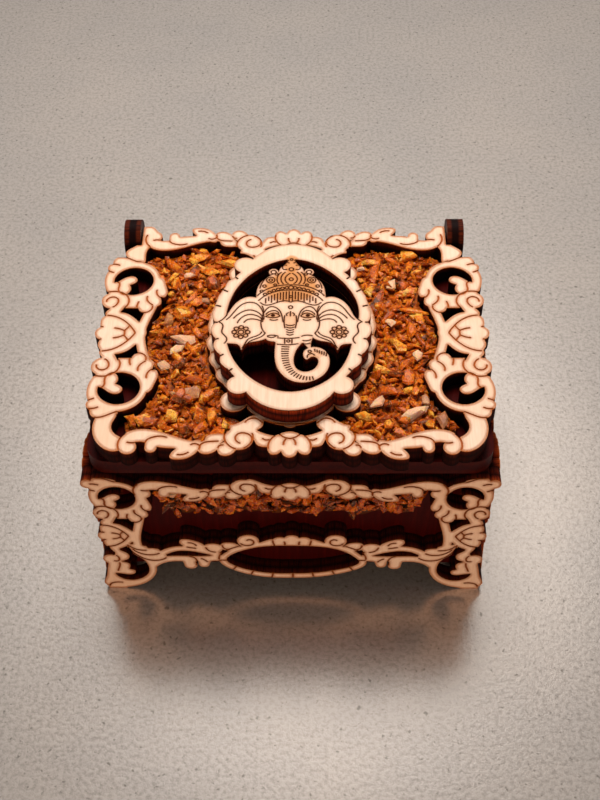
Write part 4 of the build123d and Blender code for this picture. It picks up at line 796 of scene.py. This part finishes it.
class DICEBOX_OT_front_chips(bpy.types.Operator):
    """Sets stone chips in resin under the front rim."""
    bl_idname = "dicebox.front_chips"
    bl_label = "Chips under the front rim"

    def execute(self, context):
        colours, sizes = palette(), context.scene.dice_box_chips
        rng = np.random.default_rng(sizes.seed + FRONT_SEED)
        spots = scatter(rng, *STRIP_AREA, FRONT_GAP)
        across, height = spots[:, 0] / MM, spots[:, 1] / MM
        kept = ((height > limit(STRIP_LOWER, across) + 0.6) & (np.abs(across) < STRIP_END)
                & (height < limit(STRIP_UPPER, across)))
        large = np.array(FRONT_STONES)
        widths = np.concatenate([rng.uniform(*FRONT_WIDTHS, kept.sum()), large[:, 2]]) * MM
        tones = np.concatenate([rng.uniform(0, FRONT_TONES, (kept.sum(), 3)), large[:, 3:]])
        spots = np.concatenate([spots[kept], large[:, :2] * MM])
        out = FRONT_WALL - rng.uniform(*FRONT_OUT, len(spots)) * MM
        # The chips are made lying flat and then stood up against the wall.
        flat = chips(rng, np.column_stack([spots[:, 0], -spots[:, 1], out * 0]), widths, FLATNESS, lean=0.5)
        points = np.stack([flat[:, :, 0], out[:, None] - flat[:, :, 2], -flat[:, :, 1]], -1)
        points[:, :, 1] = np.clip(points[:, :, 1], FRONT_FACE + BELOW_FRONT, FRONT_WALL - OFF_WALL)
        # The front chips get a darker copy of the lid's stone: painted shade for the recess under the front
        # rim.
        chip_piece("front_chips", points, tones, chip_stone("chip_stone_deep", colours, 0.16), "box", rng)

        # The resin: each loop goes up its outer side and down its inner one.
        along = np.linspace(-STRIP_END, STRIP_END, STRIP_GRID[0])
        z = between(limit(STRIP_LOWER, along), limit(STRIP_UPPER, along), STRIP_GRID[1])
        x = np.broadcast_to(along[:, None], z.shape)
        outer = np.stack([x, np.full_like(x, -FRONT_RESIN), z], -1)
        inner = outer * (1, 0, 1) + (0, -RESIN_LOW, 0)
        loops = np.concatenate([outer, inner[:, ::-1]], axis=1) * MM + (0, FRONT_WALL, 0)
        # A near-black copy of the lid's resin: painted shade for the recess under the front rim.
        resin = resin_bed("resin_bed_deep", colours, 0.1)
        make_piece("front_resin", loops, loft_faces(loops), resin, "box", ("front_stones",))
        return {"FINISHED"}


class DICEBOX_PT_panel(bpy.types.Panel):
    """Lists the steps and the settings."""
    bl_label = "Dice Box"
    bl_idname = "DICEBOX_PT_panel"
    bl_space_type = "VIEW_3D"
    bl_region_type = "UI"
    bl_category = "Dice Box"

    def draw(self, context):
        for step in STEPS:
            self.layout.operator(step.bl_idname)
        for group in GROUPS:
            settings = getattr(context.scene, group)
            for key in type(settings).__annotations__:
                self.layout.prop(settings, key)


STEPS = (DICEBOX_OT_stage, DICEBOX_OT_sheets, DICEBOX_OT_lid_chips, DICEBOX_OT_front_chips)
GROUPS = {"dice_box_colours": DiceBoxColours, "dice_box_chips": DiceBoxChips,
          "dice_box_stage": DiceBoxStage}
CLASSES = (*GROUPS.values(), *STEPS, DICEBOX_PT_panel)


def register():
    """Registers the classes and puts the settings on the scene."""
    for item in CLASSES:
        bpy.utils.register_class(item)
    for name, group in GROUPS.items():
        setattr(bpy.types.Scene, name, bpy.props.PointerProperty(type=group))


def unregister():
    """Takes the settings off the scene and unregisters the classes."""
    for name in GROUPS:
        delattr(bpy.types.Scene, name)
    for item in reversed(CLASSES):
        bpy.utils.unregister_class(item)


def main():
    """Registers the add-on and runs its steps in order."""
    register()
    for step in STEPS:
        getattr(bpy.ops.dicebox, step.bl_idname.split(".")[1])()


if __name__ == "__main__":
    main()
